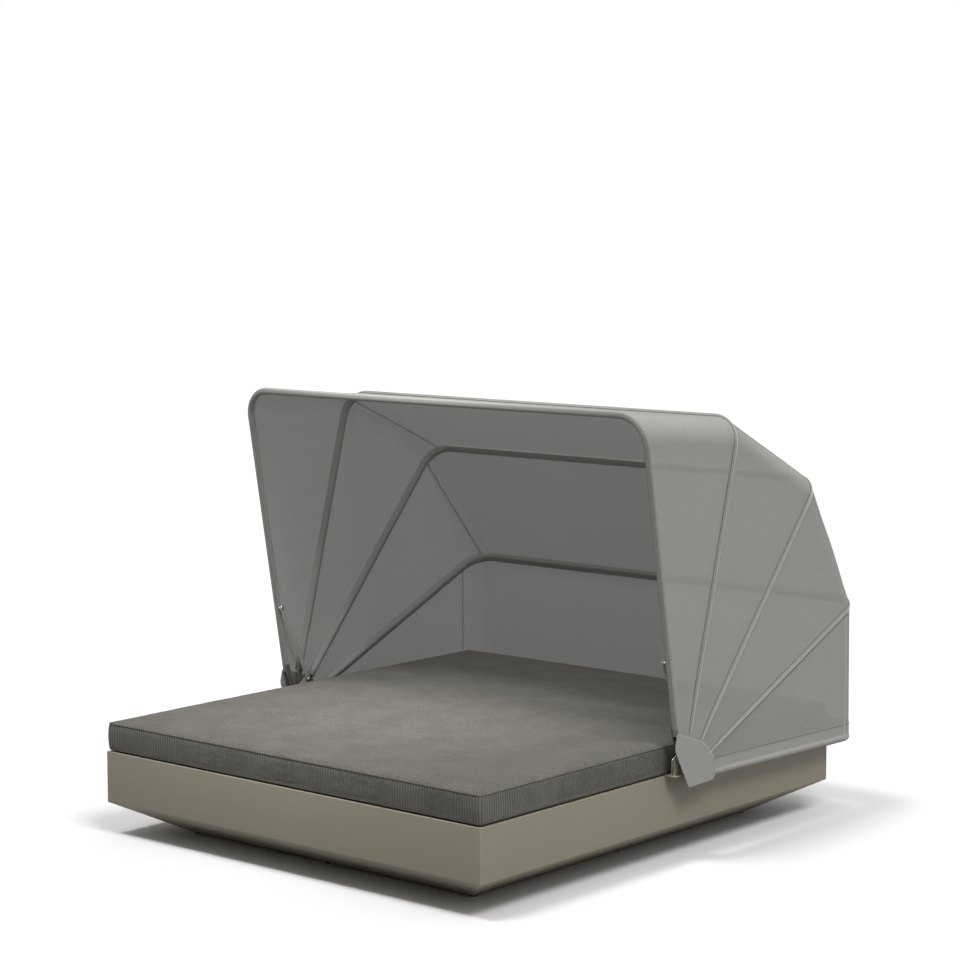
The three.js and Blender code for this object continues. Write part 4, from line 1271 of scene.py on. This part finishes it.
def cloth_paint(wire, tone, cover):
    """Open plain weave: thick weft ribs across a finer warp, with gaps that let light through."""
    flat = wire.on_flat()
    along, across, _ = flat.parts()
    weft = along.waves_of(weft_pitch)
    warp = across.waves_of(warp_pitch)
    slub = flat.stretched(420.0, 90.0, 1.0).cloud(1.0, 2.0).rise(0.3, 0.7)
    cloudy = flat.cloud(3.0, 3.0).rise(0.3, 0.7)
    dark = toned(tone, 0.92)
    light = toned(tone, 1.08)
    return {
        "Base Color": (slub * 0.25 + cloudy * 0.2 + weft * 0.27 + 0.27).blend(dark, light),
        "Alpha": (1.0 - cover) * (weft * warp * 0.2 + slub * 0.1) + cover,
        "Roughness": 0.9,
        "Specular IOR Level": 0.15,
        "Normal": (weft * 0.7 + warp * 0.3).bump(0.0006, 0.5),
    }


def ladder_paint(wire):
    """The front hem: the same mesh under two rows of close ladder stitches, dark by light in turn."""
    along, across, _ = wire.on_flat().parts()
    rung = along.waves_of(ladder_pitch).rise(-0.5, 0.6)
    row = across.waves_of(ladder_rows).rise(-0.7, 0.5)
    dark = toned(hem_tone, 0.6)
    light = toned(hem_tone, 1.1)
    return {
        "Base Color": (rung * 0.55 + row * 0.45).blend(dark, light),
        "Alpha": doubled_cover,
        "Roughness": 0.9,
        "Specular IOR Level": 0.15,
        "Normal": rung.bump(0.0008, 0.5),
    }


def welt_paint(wire, tone):
    """Seam welts and stitching in a paler yarn, and the painted shade line ahead of each welt."""
    place = wire.on_object()
    twist = place.cloud(600.0, 2.0)
    dark = toned(tone, 0.88)
    return {
        "Base Color": twist.blend(dark, tone),
        "Roughness": 0.85,
        "Specular IOR Level": 0.2,
        "Normal": twist.bump(0.0004, 0.5),
    }


outer_finish = finish_named("canopy_mesh", lambda w: cloth_paint(w, outer_tone, cloth_cover))
inner_shaded_finish = finish_named("canopy_inner_painted_shade", lambda w: cloth_paint(w, inner_shaded_tone, cloth_cover))
hem_finish = finish_named("hem_mesh", lambda w: cloth_paint(w, hem_tone, doubled_cover))
pocket_shaded_finish = finish_named("pocket_mesh_painted_shade", lambda w: cloth_paint(w, pocket_shaded_tone, doubled_cover))
ladder_finish = finish_named("ladder_hem", ladder_paint)
seam_tape_finish = finish_named("tape_mesh", lambda w: cloth_paint(w, welt_tone, cloth_cover))
hem_thread_finish = finish_named("hem_thread", lambda w: welt_paint(w, hem_tone))
welt_finish = finish_named("seam_welt", lambda w: welt_paint(w, welt_tone))
fold_shade_and_stitch_finish = finish_named("seam_fold", lambda w: welt_paint(w, fold_shade_and_stitch_tone))
cloth_stations = stations_of(40, 16, 40)
for index, panel_name in enumerate(panel_names):
    share = panel_rows(index, cloth_stations)
    points, out = panel_at(index, np.broadcast_to(cloth_stations, share.shape), share)
    centre_angle = (bow_angles[index] + bow_angles[index + 1]) / 2
    square = np.array([0.0, -math.sin(centre_angle), math.cos(centre_angle)])
    across = (points - np.array([0.0, 0.0, fan_z])) @ square
    along = run_along(points)
    panel = surface(
        f"canopy_{panel_name}",
        points,
        grid_faces(*share.shape)[:, ::-1],
        outer_finish,
        closed=False,
        smooth=80.0,
    )
    laid_out(panel, np.stack([along - along.mean(1, keepdims=True), across], axis=-1))
    cloth_area = area_of(panel)
    follow_fan(panel, index)
    # The inner face takes the darker copy of the cloth, which is painted shade.
    panel.data.materials.append(inner_shaded_finish)
    thickened(panel, cloth_thickness).material_offset = 1
    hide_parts(panel_name)
    length = along.max()
    width = cloth_area / length / cut_share


# Hems, pockets and seams: the front and bottom hems are turned round their bows and stitched down.
# Each bow between them lies in a pocket sewn inside the cloth, its mesh painted darker as painted
# shade, with a thin dark line of painted shade at the crease ahead of it and a pale welt along its
# back, and the corner seams of the panels are taped on the inside.
hem_band = 0.002
bottom_hem_band = 0.054
hem_return = 0.018
pocket_ahead = 0.018
pocket_behind = 0.022
sleeve_close = 0.0106
under_cloth = cloth_lie - 0.0003
over_cloth = cloth_lie + cloth_thickness + 0.0003
welt_behind = -0.003
welt_radius = 0.0013
stitch_radius = 0.001
fold_room = 0.067
least_room = 0.0112
fold_shade_ahead = 0.012
fold_shade_radius = 0.0011
seam_radius = 0.0018
tape_width = 0.011
tape_thickness = 0.0006
tape_drop = 0.0012
seam_inset = 0.002
seam_lift = 0.0008
welt_lift = 0.0008
fold_shade_lift = 0.0004
stitch_lift = 0.0006
stitch_sink = 0.0002
tube_side = 0.0128
side_fade = 0.004
line_sides = 8
corner_seams = {1: (45.0, 60.0), 2: (18.0, 57.0), 3: (6.0, 5.0)}


def ways_at(index):
    """At each station of a strip along a bow: the tube's middle, the way out, and the ways to the bows
    ahead and behind, square to the tube; past the end bows it is the way square to their own plane."""
    middle, outward = bow_line(index, strip_stations, 0.0, sleeve_start)
    here, _ = bow_line(index, strip_stations, cloth_lie, sleeve_start)
    run = direction_of(here)

    def towards(other, free_side):
        if not 0 <= other < len(bow_names):
            return np.broadcast_to(free_side * ahead_of(index), outward.shape)
        way = bow_line(other, strip_stations, cloth_lie, sleeve_start)[0] - here
        way -= (way * run).sum(-1, keepdims=True) * run
        return way / np.linalg.norm(way, axis=-1, keepdims=True)

    return middle, outward, towards(index - 1, 1.0), towards(index + 1, -1.0)


def room_beside(middle):
    """The room beside a tube that its folded neighbours leave, which narrows towards the hub."""
    return np.maximum(fold_room * reach_of(middle), least_room)


def along_bow(index, section, cloth_side, narrowed):
    """A section of (distance behind the tube's middle, height above it) carried along a bow. Where
    the corners fill the dip, the parts that lie on the cloth rise with it."""
    middle, outward, ahead, behind = ways_at(index)
    distance, height = np.asarray(section, float).T
    beside = np.where(distance[:, None, None] < 0, ahead[None], behind[None])
    reached = np.broadcast_to(abs(distance)[:, None], (len(distance), len(middle)))
    if narrowed:
        reached = np.minimum(reached, room_beside(middle)[None])
    off_tube = np.clip((abs(distance) - tube_side) / side_fade, 0, 1)
    on_cloth = np.where((height > 0) & (distance * cloth_side > 0), 1.0, off_tube)
    filled = (dip_at(abs(distance)) * on_cloth)[:, None, None] * (1 - dip_kept(outward, middle))[None]
    across = reached[..., None] * beside
    return middle[None] + (height[:, None, None] + filled) * outward[None] + across


def touch_angle(distance, level, radius, side):
    """Where a line from a point beside a circle touches it."""
    return math.atan2(level, distance) + side * math.acos(radius / math.hypot(distance, level))


def pocket_section(ahead, behind):
    """From the cloth ahead of the tube, close round the tube's inside, to the cloth behind it."""
    head_end = np.array([-ahead, under_cloth - dip_at(ahead)])
    tail_end = np.array([behind, under_cloth - dip_at(behind)])
    first = touch_angle(*head_end, sleeve_close, 1)
    last = touch_angle(*tail_end, sleeve_close, -1) + 2 * math.pi
    turn = np.linspace(first, last, 14)
    arc = sleeve_close * np.column_stack([np.cos(turn), np.sin(turn)])
    straight = np.linspace(0, 1, 5)[1:-1, None]
    into = head_end + straight * (arc[0] - head_end)
    away = arc[-1] + straight * (tail_end - arc[-1])
    return np.concatenate([[head_end], into, arc, away, [tail_end]])


def hem_section(outer_band, inner_return):
    """From the band's edge over the cloth, round the tube's free side, and back to the cloth inside."""
    tail_end = np.array([inner_return, under_cloth - dip_at(inner_return)])
    last = touch_angle(*tail_end, sleeve_close, -1) + 2 * math.pi
    turn = np.linspace(math.pi / 2, last, 26)
    radius = over_cloth + (sleeve_close - over_cloth) * np.linspace(0, 1, 26) ** 0.6
    arc = radius[:, None] * np.column_stack([np.cos(turn), np.sin(turn)])
    reach = outer_band * np.linspace(1, 0, 17)[:-1]
    into = np.column_stack([reach, over_cloth - dip_at(reach)])
    away = arc[-1] + np.linspace(0, 1, 6)[1:, None] * (tail_end - arc[-1])
    return np.concatenate([into, arc, away])


def sewn_strip(name, index, section, material, flip, cloth_side=0, panel=None):
    """One strip of cloth along a bow, with its thickness outwards from the tube. It rides its bow, or
    is left in place when it is sewn down on a panel."""
    points = along_bow(index, section, cloth_side, panel is None)
    faces = grid_faces(*points.shape[:2])
    faces = faces[:, ::-1] if flip else faces
    strip = surface(name, points, faces, material, closed=False, smooth=80.0)
    along = run_along(points)
    girth = np.linalg.norm(np.diff(np.asarray(section), axis=0), axis=1).cumsum()
    across = np.broadcast_to(np.concatenate([[0], girth])[:, None], along.shape)
    laid_out(strip, np.stack([along, across], axis=-1))
    thickened(strip, cloth_thickness)
    if panel is None:
        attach(strip, bow_bodies[index])
    else:
        follow_fan(strip, panel)


def sewn_line(name, index, behind, height, radius, material, panel=None):
    """A round seam line along a bow, at a distance behind the tube's middle and a height above it,
    less the dip of the cloth there."""
    middle, outward, ahead, rear = ways_at(index)
    beside = ahead if behind < 0 else rear
    level = height - dip_at(abs(behind)) * dip_kept(outward, middle)
    reached = np.full(len(middle), abs(behind))
    if panel is None:
        reached = np.minimum(reached, room_beside(middle) - radius)
    places = middle + outward * level + beside * reached[:, None]
    side = np.cross(direction_of(places), outward)
    line = capped_tube(name, places, outward, side, radius, material, line_sides)
    if panel is None:
        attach(line, bow_bodies[index])
    else:
        follow_fan(line, panel)


strip_stations = stations_of(30, 16, 30)
last_bow = len(bow_names) - 1
last_panel = last_bow - 1
sewn_strip("front_hem", 0, hem_section(hem_band, hem_return), ladder_finish, False, 1)
bottom_section = hem_section(bottom_hem_band, hem_return) * np.array([-1.0, 1.0])
sewn_strip("bottom_hem", last_bow, bottom_section, hem_finish, True, -1, last_panel)
outer_line = cloth_lie + 2 * cloth_thickness + stitch_lift
inner_line = under_cloth - cloth_thickness - stitch_sink
for line_name, index, behind, height, material, panel in (
    ("front_hem_stitches", 0, hem_band / 2, outer_line, hem_thread_finish, None),
    ("front_hem_return_stitches", 0, hem_return - seam_inset, inner_line, hem_thread_finish, None),
    ("bottom_hem_stitches", last_bow, seam_inset - bottom_hem_band, outer_line, fold_shade_and_stitch_finish, last_panel),
    ("bottom_hem_return_stitches", last_bow, -hem_return, inner_line, welt_finish, last_panel),
):
    sewn_line(line_name, index, behind, height, stitch_radius, material, panel)
pocket = pocket_section(pocket_ahead, pocket_behind)
pocket_lines = {
    "welt": (welt_behind, over_cloth + welt_lift, welt_radius, welt_finish),
    # a dark line of painted shade along the crease ahead of the tube
    "fold": (-fold_shade_ahead, over_cloth + fold_shade_lift, fold_shade_radius, fold_shade_and_stitch_finish),
    "rear_stitches": (pocket_behind - seam_inset, inner_line, stitch_radius, welt_finish),
    "front_stitches": (seam_inset - pocket_ahead, inner_line, stitch_radius, welt_finish),
}
for index in range(1, last_bow):
    short_name = bow_names[index].replace("_bow", "")
    sewn_strip(f"{short_name}_pocket", index, pocket, pocket_shaded_finish, False)
    for line_name, line in pocket_lines.items():
        sewn_line(f"{short_name}_{line_name}", index, *line)

for index, (turn_above, turn_below) in corner_seams.items():
    for side_name, sign in (("right", 1), ("left", -1)):
        share = np.linspace(0.0, 1.0, 40)
        turn = (turn_above + (turn_below - turn_above) * share) / 90.0
        station = sign * (leg_end_station - turn * (leg_end_station - bar_end_station))
        places, out = panel_at(index, station, share, cloth_thickness + seam_lift)
        beside = np.cross(out, direction_of(places))
        seam_name = f"{panel_names[index]}_corner_seam_{side_name}"
        seam = capped_tube(seam_name, places, out, -beside, seam_radius, welt_finish, line_sides)
        follow_fan(seam, index)
        offsets = np.linspace(-0.5, 0.5, 5)[:, None, None] * tape_width
        tape_points = places[None] + beside[None] * offsets - out[None] * (cloth_thickness + tape_drop)
        tape_name = f"{panel_names[index]}_seam_tape_{side_name}"
        tape_faces = grid_faces(*tape_points.shape[:2])
        tape = surface(tape_name, tape_points, tape_faces, seam_tape_finish, False)
        tape_run = np.broadcast_to(share, tape_points.shape[:2])
        length = np.linalg.norm(np.diff(places, axis=0), axis=1).sum()
        across = np.broadcast_to(offsets[:, :, 0], tape_run.shape)
        laid_out(tape, np.stack([tape_run * length, across], axis=-1))
        cloth_area = area_of(tape)
        follow_fan(tape, index)
        thickened(tape, tape_thickness, 0.0)
        min(cloth_area, tape_width * length)


# The hub patches: a second layer of coarse twill over each hub, cut in one piece for each panel,
# and swelling a little between its edges.
patch_low, patch_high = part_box("hub_patch_right")
patch_x = patch_low.x
patch_thickness = patch_high.x - patch_low.x
patch_size = 0.24
patch_corner_shares = np.array(
    [(0.045, -0.235), (-0.305, 0.367), (-0.246, 0.62), (0.41, 0.39), (0.675, 0.14), (0.7, -0.217)]
)
patch_corner_radii = [0.012, 0.05, 0.012, 0.06, 0.03, 0.012]
patch_limits = np.radians([118.0, 75.0, 49.5, 24.2, -46.0])
patch_tone = shade(0.49, 0.49, 0.468)
patch_swell = 0.0004
patch_share = 0.7
twill_slope = math.radians(38.0)
twill_pitch = 0.008


def ray_reaches(outline, angles):
    """For each angle, the nearest and farthest distance at which a ray from the fan line meets a
    closed outline: where the ray's side changes along an edge, by the cross product's ratio."""
    points = outline - np.array([0.0, fan_z])
    following = np.roll(points, -1, axis=0)
    way = np.stack([np.cos(angles), np.sin(angles)], axis=-1)
    first = way[:, None, 0] * points[None, :, 1] - way[:, None, 1] * points[None, :, 0]
    last = way[:, None, 0] * following[None, :, 1] - way[:, None, 1] * following[None, :, 0]
    gap = np.where(abs(first - last) < 1e-12, 1e-12, first - last)
    share = first / gap
    crossing = points[None] + share[..., None] * (following - points)[None]
    distance = (crossing * way[:, None]).sum(-1)
    valid = (share >= 0) & (share <= 1) & (distance > 0)
    nearest = np.where(valid, distance, np.inf).min(1)
    farthest = np.where(valid, distance, 0.0).max(1)
    return nearest, farthest, valid.any(1)


def twill_paint(wire):
    """Coarse twill: heavy ribs that fall towards the head end, over a lighter ground."""
    place = wire.on_object()
    _, y, z = place.parts()
    tooth = (y * math.sin(twill_slope) + z * math.cos(twill_slope)).waves_of(twill_pitch)
    speck = place.cloud(320.0, 2.0)
    dark = toned(patch_tone, 0.62)
    light = toned(patch_tone, 1.2)
    return {
        "Base Color": (tooth * 0.28 + speck * 0.3 + 0.45).blend(dark, light),
        "Roughness": 0.9,
        "Specular IOR Level": 0.15,
        "Normal": tooth.bump(0.0012, 0.6),
    }


twill_finish = finish_named("patch_twill", twill_paint)
patch_corners = np.array([hub_y, hub_z]) + patch_size * patch_corner_shares
patch_outline = filleted(patch_corners, patch_corner_radii, 10)
for side_name, sign in (("right", 1), ("left", -1)):
    for index, panel_name in enumerate(panel_names):
        angles = np.linspace(patch_limits[index], patch_limits[index + 1], 61)
        near, far, met = ray_reaches(patch_outline, angles)
        angles, near, far = angles[met], near[met], far[met]
        share = np.linspace(0, 1, 25)
        distance = near[:, None] + (far - near)[:, None] * share[None, :]
        swell = patch_swell * np.sin(share * math.pi)[None, :] ** 0.5 * np.ones_like(distance)
        points = np.stack(
            [
                sign * (patch_x + swell),
                distance * np.cos(angles)[:, None],
                fan_z + distance * np.sin(angles)[:, None],
            ],
            axis=-1,
        )
        faces = grid_faces(*distance.shape)
        faces = faces if sign > 0 else faces[:, ::-1]
        patch = surface(f"patch_{side_name}_{panel_name}", points, faces, twill_finish, closed=False)
        cloth_area = area_of(patch)
        follow_fan(patch, index)
        thickened(patch, patch_thickness * patch_share)
        if index == 0:
            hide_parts(f"hub_patch_{side_name}")
        spread = np.ptp(points[..., 1]), np.ptp(points[..., 2])


# The hubs: on each side a taupe steel bracket stands on its foot, bolted to the tub's lip, with a
# polished cheek beside it. A pin through both carries the five lugs, and a stay bolt the bottom bow.
plate_edge = 0.0006
turned_edge = 0.0004
bracket_tone = shade(0.36, 0.325, 0.268)
steel_dark = shade(0.42, 0.42, 0.425)
steel_light = shade(0.62, 0.62, 0.63)


def bracket_paint(wire):
    """Matt powder coat in the tub's taupe, with a faint dusty mottle."""
    place = wire.on_object()
    grain = place.cloud(380.0, 2.0)
    dust = place.cloud(18.0, 3.0).rise(0.4, 0.75)
    dark = toned(bracket_tone, 0.94)
    light = toned(bracket_tone, 1.06)
    return {
        "Base Color": dust.blend(dark, light),
        "Roughness": 0.5 + grain * 0.15,
        "Normal": grain.bump(0.0004, 0.35),
    }


def steel_paint(wire):
    """Polished stainless steel with faint brushing and small spots of dull film."""
    place = wire.on_object()
    brushed = place.stretched(60.0, 60.0, 1400.0).cloud(1.0, 2.0)
    film = place.cloud(70.0, 3.0).rise(0.5, 0.8)
    return {
        "Base Color": (brushed * 0.6 + film * 0.2).blend(steel_light, steel_dark),
        "Metallic": 1.0,
        "Roughness": 0.16 + film * 0.2 + brushed * 0.08,
        "Normal": brushed.bump(0.00008, 0.3),
    }


def turned_pair(node_name, name, body, profile, centre, along="x"):
    """A turned steel piece on each side: its profile is drawn for the right side, from the inside out,
    and its edges are rounded."""
    for side_name, sign in (("right", 1), ("left", -1)):
        points = np.array(profile, float)
        if along == "x":
            points[:, 1] *= sign
            place = centre
        else:
            place = (sign * centre[0], centre[1])
        piece = turned(f"{name}_{side_name}", points, steel_finish, place, along=along)
        bevelled(piece, turned_edge)
        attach(piece, body if isinstance(body, str) else body[side_name])
        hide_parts(f"{node_name}_{side_name}")


bracket_finish = finish_named("taupe_powder_coat", bracket_paint)
steel_finish = finish_named("polished_steel", steel_paint)
plates = {"bracket": ("bracket_paint", bracket_finish), "cheek": ("stainless", steel_finish)}
for side_name in ("right", "left"):
    for plate_name, (slot_name, finish) in plates.items():
        name = f"{plate_name}_{side_name}"
        bevelled_copy(f"hub_{name}", name, "base", finish, plate_edge)

hub_centre = (hub_y, hub_z)
pin_radius = 0.006
pin_head_radius = 0.01
pin_cap_radius = 0.009
cheek_x = half_width + 0.022
bracket_x = half_width + 0.032
plate_thickness = 0.004
cheek_thickness = 0.003
pin_head_height = 0.004
pin_cap_height = 0.0019
stack_outside = leg_x + tube_radius
first_lug_x = stack_outside - lug_thickness - lug_pitch * (len(bow_names) - 1)
bracket_out = bracket_x + plate_thickness
turned_pair(
    "hub_pin",
    "pin",
    "base",
    [
        (0.0, cheek_x - seat_gap - pin_head_height),
        (pin_head_radius, cheek_x - seat_gap - pin_head_height),
        (pin_head_radius, cheek_x - seat_gap),
        (pin_radius, cheek_x - seat_gap),
        (pin_radius, stack_outside + seat_gap),
        (pin_cap_radius, stack_outside + seat_gap),
        (pin_cap_radius, stack_outside + seat_gap + pin_cap_height),
        (0.0, stack_outside + seat_gap + pin_cap_height),
    ],
    hub_centre,
)


def collar(inner, outer, low, high):
    return [(inner, low), (outer, low), (outer, high), (inner, high), (inner, low)]


turned_pair(
    "hub_sleeve",
    "sleeve",
    "base",
    collar(pin_hole, pin_head_radius, cheek_x + cheek_thickness + seat_gap, bracket_x - seat_gap),
    hub_centre,
)
turned_pair(
    "hub_washer",
    "washer",
    "base",
    collar(pin_hole, pin_head_radius, bracket_out + seat_gap, first_lug_x - seat_gap),
    hub_centre,
)
bolt_radius = 0.004
bolt_collar = 0.007
turned_pair(
    "stay_bolt",
    "stay",
    "base",
    [
        (0.0, bracket_x - seat_gap - pin_head_height),
        (bolt_collar, bracket_x - seat_gap - pin_head_height),
        (bolt_collar, bracket_x - seat_gap),
        (bolt_radius, bracket_x - seat_gap),
        (bolt_radius, bracket_out + seat_gap),
        (bolt_collar, bracket_out + seat_gap),
        (bolt_collar, stack_outside - lug_thickness - seat_gap),
        (bolt_radius, stack_outside - lug_thickness - seat_gap),
        (bolt_radius, stack_outside),
        (0.0, stack_outside),
    ],
    (stay_y, stay_z),
)
foot_bolt_shank = 0.003
foot_bolt_head = 0.006
foot_bolt_height = 0.0015
foot_thickness = 0.0035
foot_top = tub_top + seat_gap + foot_thickness
lip_under = tub_top - tub_wall
for end_name in ("front", "back"):
    turned_pair(
        f"foot_bolt_{end_name}",
        f"lip_bolt_{end_name}",
        "base",
        [
            (0.0, lip_under - seat_gap - foot_bolt_head),
            (foot_bolt_head, lip_under - seat_gap - foot_bolt_head),
            (foot_bolt_head, lip_under - seat_gap),
            (foot_bolt_shank, lip_under - seat_gap),
            (foot_bolt_shank, foot_top + seat_gap),
            (foot_bolt_head, foot_top + seat_gap),
            (foot_bolt_head, foot_top + seat_gap + foot_bolt_height),
            (0.0, foot_top + seat_gap + foot_bolt_height),
        ],
        middle_of(f"foot_bolt_{end_name}_right"),
        along="z",
    )


# The braces: a flat perforated bar on each side, powder coated light grey, from a domed bolt on the
# front bow down to a domed bolt at the bracket's lobe.
brace_x = half_width + 0.027
brace_thickness = 0.003
brace_edge = 0.0004
dome_radius = 0.009
dome_height = 0.005
dome_rim = 0.0008
dome_end_turn = math.pi / 2.15
brace_foot = (0.0715, 0.420)
brace_tip_gap = 0.0005
brace_tone = shade(0.52, 0.52, 0.49)


def brace_paint(wire):
    place = wire.on_object()
    peel = place.cloud(300.0, 2.0)
    scuff = place.stretched(40.0, 200.0, 200.0).cloud(1.0, 3.0).rise(0.55, 0.75)
    dark = toned(brace_tone, 0.93)
    light = toned(brace_tone, 1.2)
    return {
        "Base Color": (scuff * 0.6 + peel * 0.3).blend(dark, light),
        "Metallic": 0.1,
        "Roughness": 0.42 + scuff * 0.2,
        "Normal": peel.bump(0.0003, 0.3),
    }


brace_finish = finish_named("light_grey_coat", brace_paint)
brace_bodies = {"right": "brace_right_body", "left": "brace_left_body"}
for side_name, body in brace_bodies.items():
    name = f"brace_{side_name}"
    bevelled_copy(f"brace_bar_{side_name}", name, body, brace_finish, brace_edge)
brace_head = bow_line(0, 1.0, 0.0, brace_reach)[0]
dome_end = brace_x - seat_gap
dome_turn = np.linspace(0, dome_end_turn, 9)
dome_reach = dome_radius * np.sin(dome_turn) / math.sin(dome_end_turn)
dome_fall = (dome_height - dome_rim) * (1 - np.cos(dome_turn)) / (1 - math.cos(dome_end_turn))
dome = list(zip(dome_reach, dome_end - dome_height + dome_fall))
dome += [(dome_radius, dome_end), (bolt_radius, dome_end)]
brace_out = brace_x + brace_thickness + seat_gap
turned_pair(
    "brace_upper_bolt",
    "brace_top_bolt",
    "front_bow_body",
    dome
    + [
        (bolt_radius, brace_out),
        (bolt_collar, brace_out),
        (bolt_collar, leg_x - tube_radius - seat_gap),
        (bolt_radius, leg_x - tube_radius - seat_gap),
        (bolt_radius, leg_x - seat_gap),
        (0.0, leg_x - seat_gap),
    ],
    (brace_head[1], brace_head[2]),
)
turned_pair(
    "brace_lower_bolt",
    "brace_foot_bolt",
    brace_bodies,
    dome + [(bolt_radius, bracket_x - brace_tip_gap), (0.0, bracket_x - brace_tip_gap)],
    brace_foot,
)
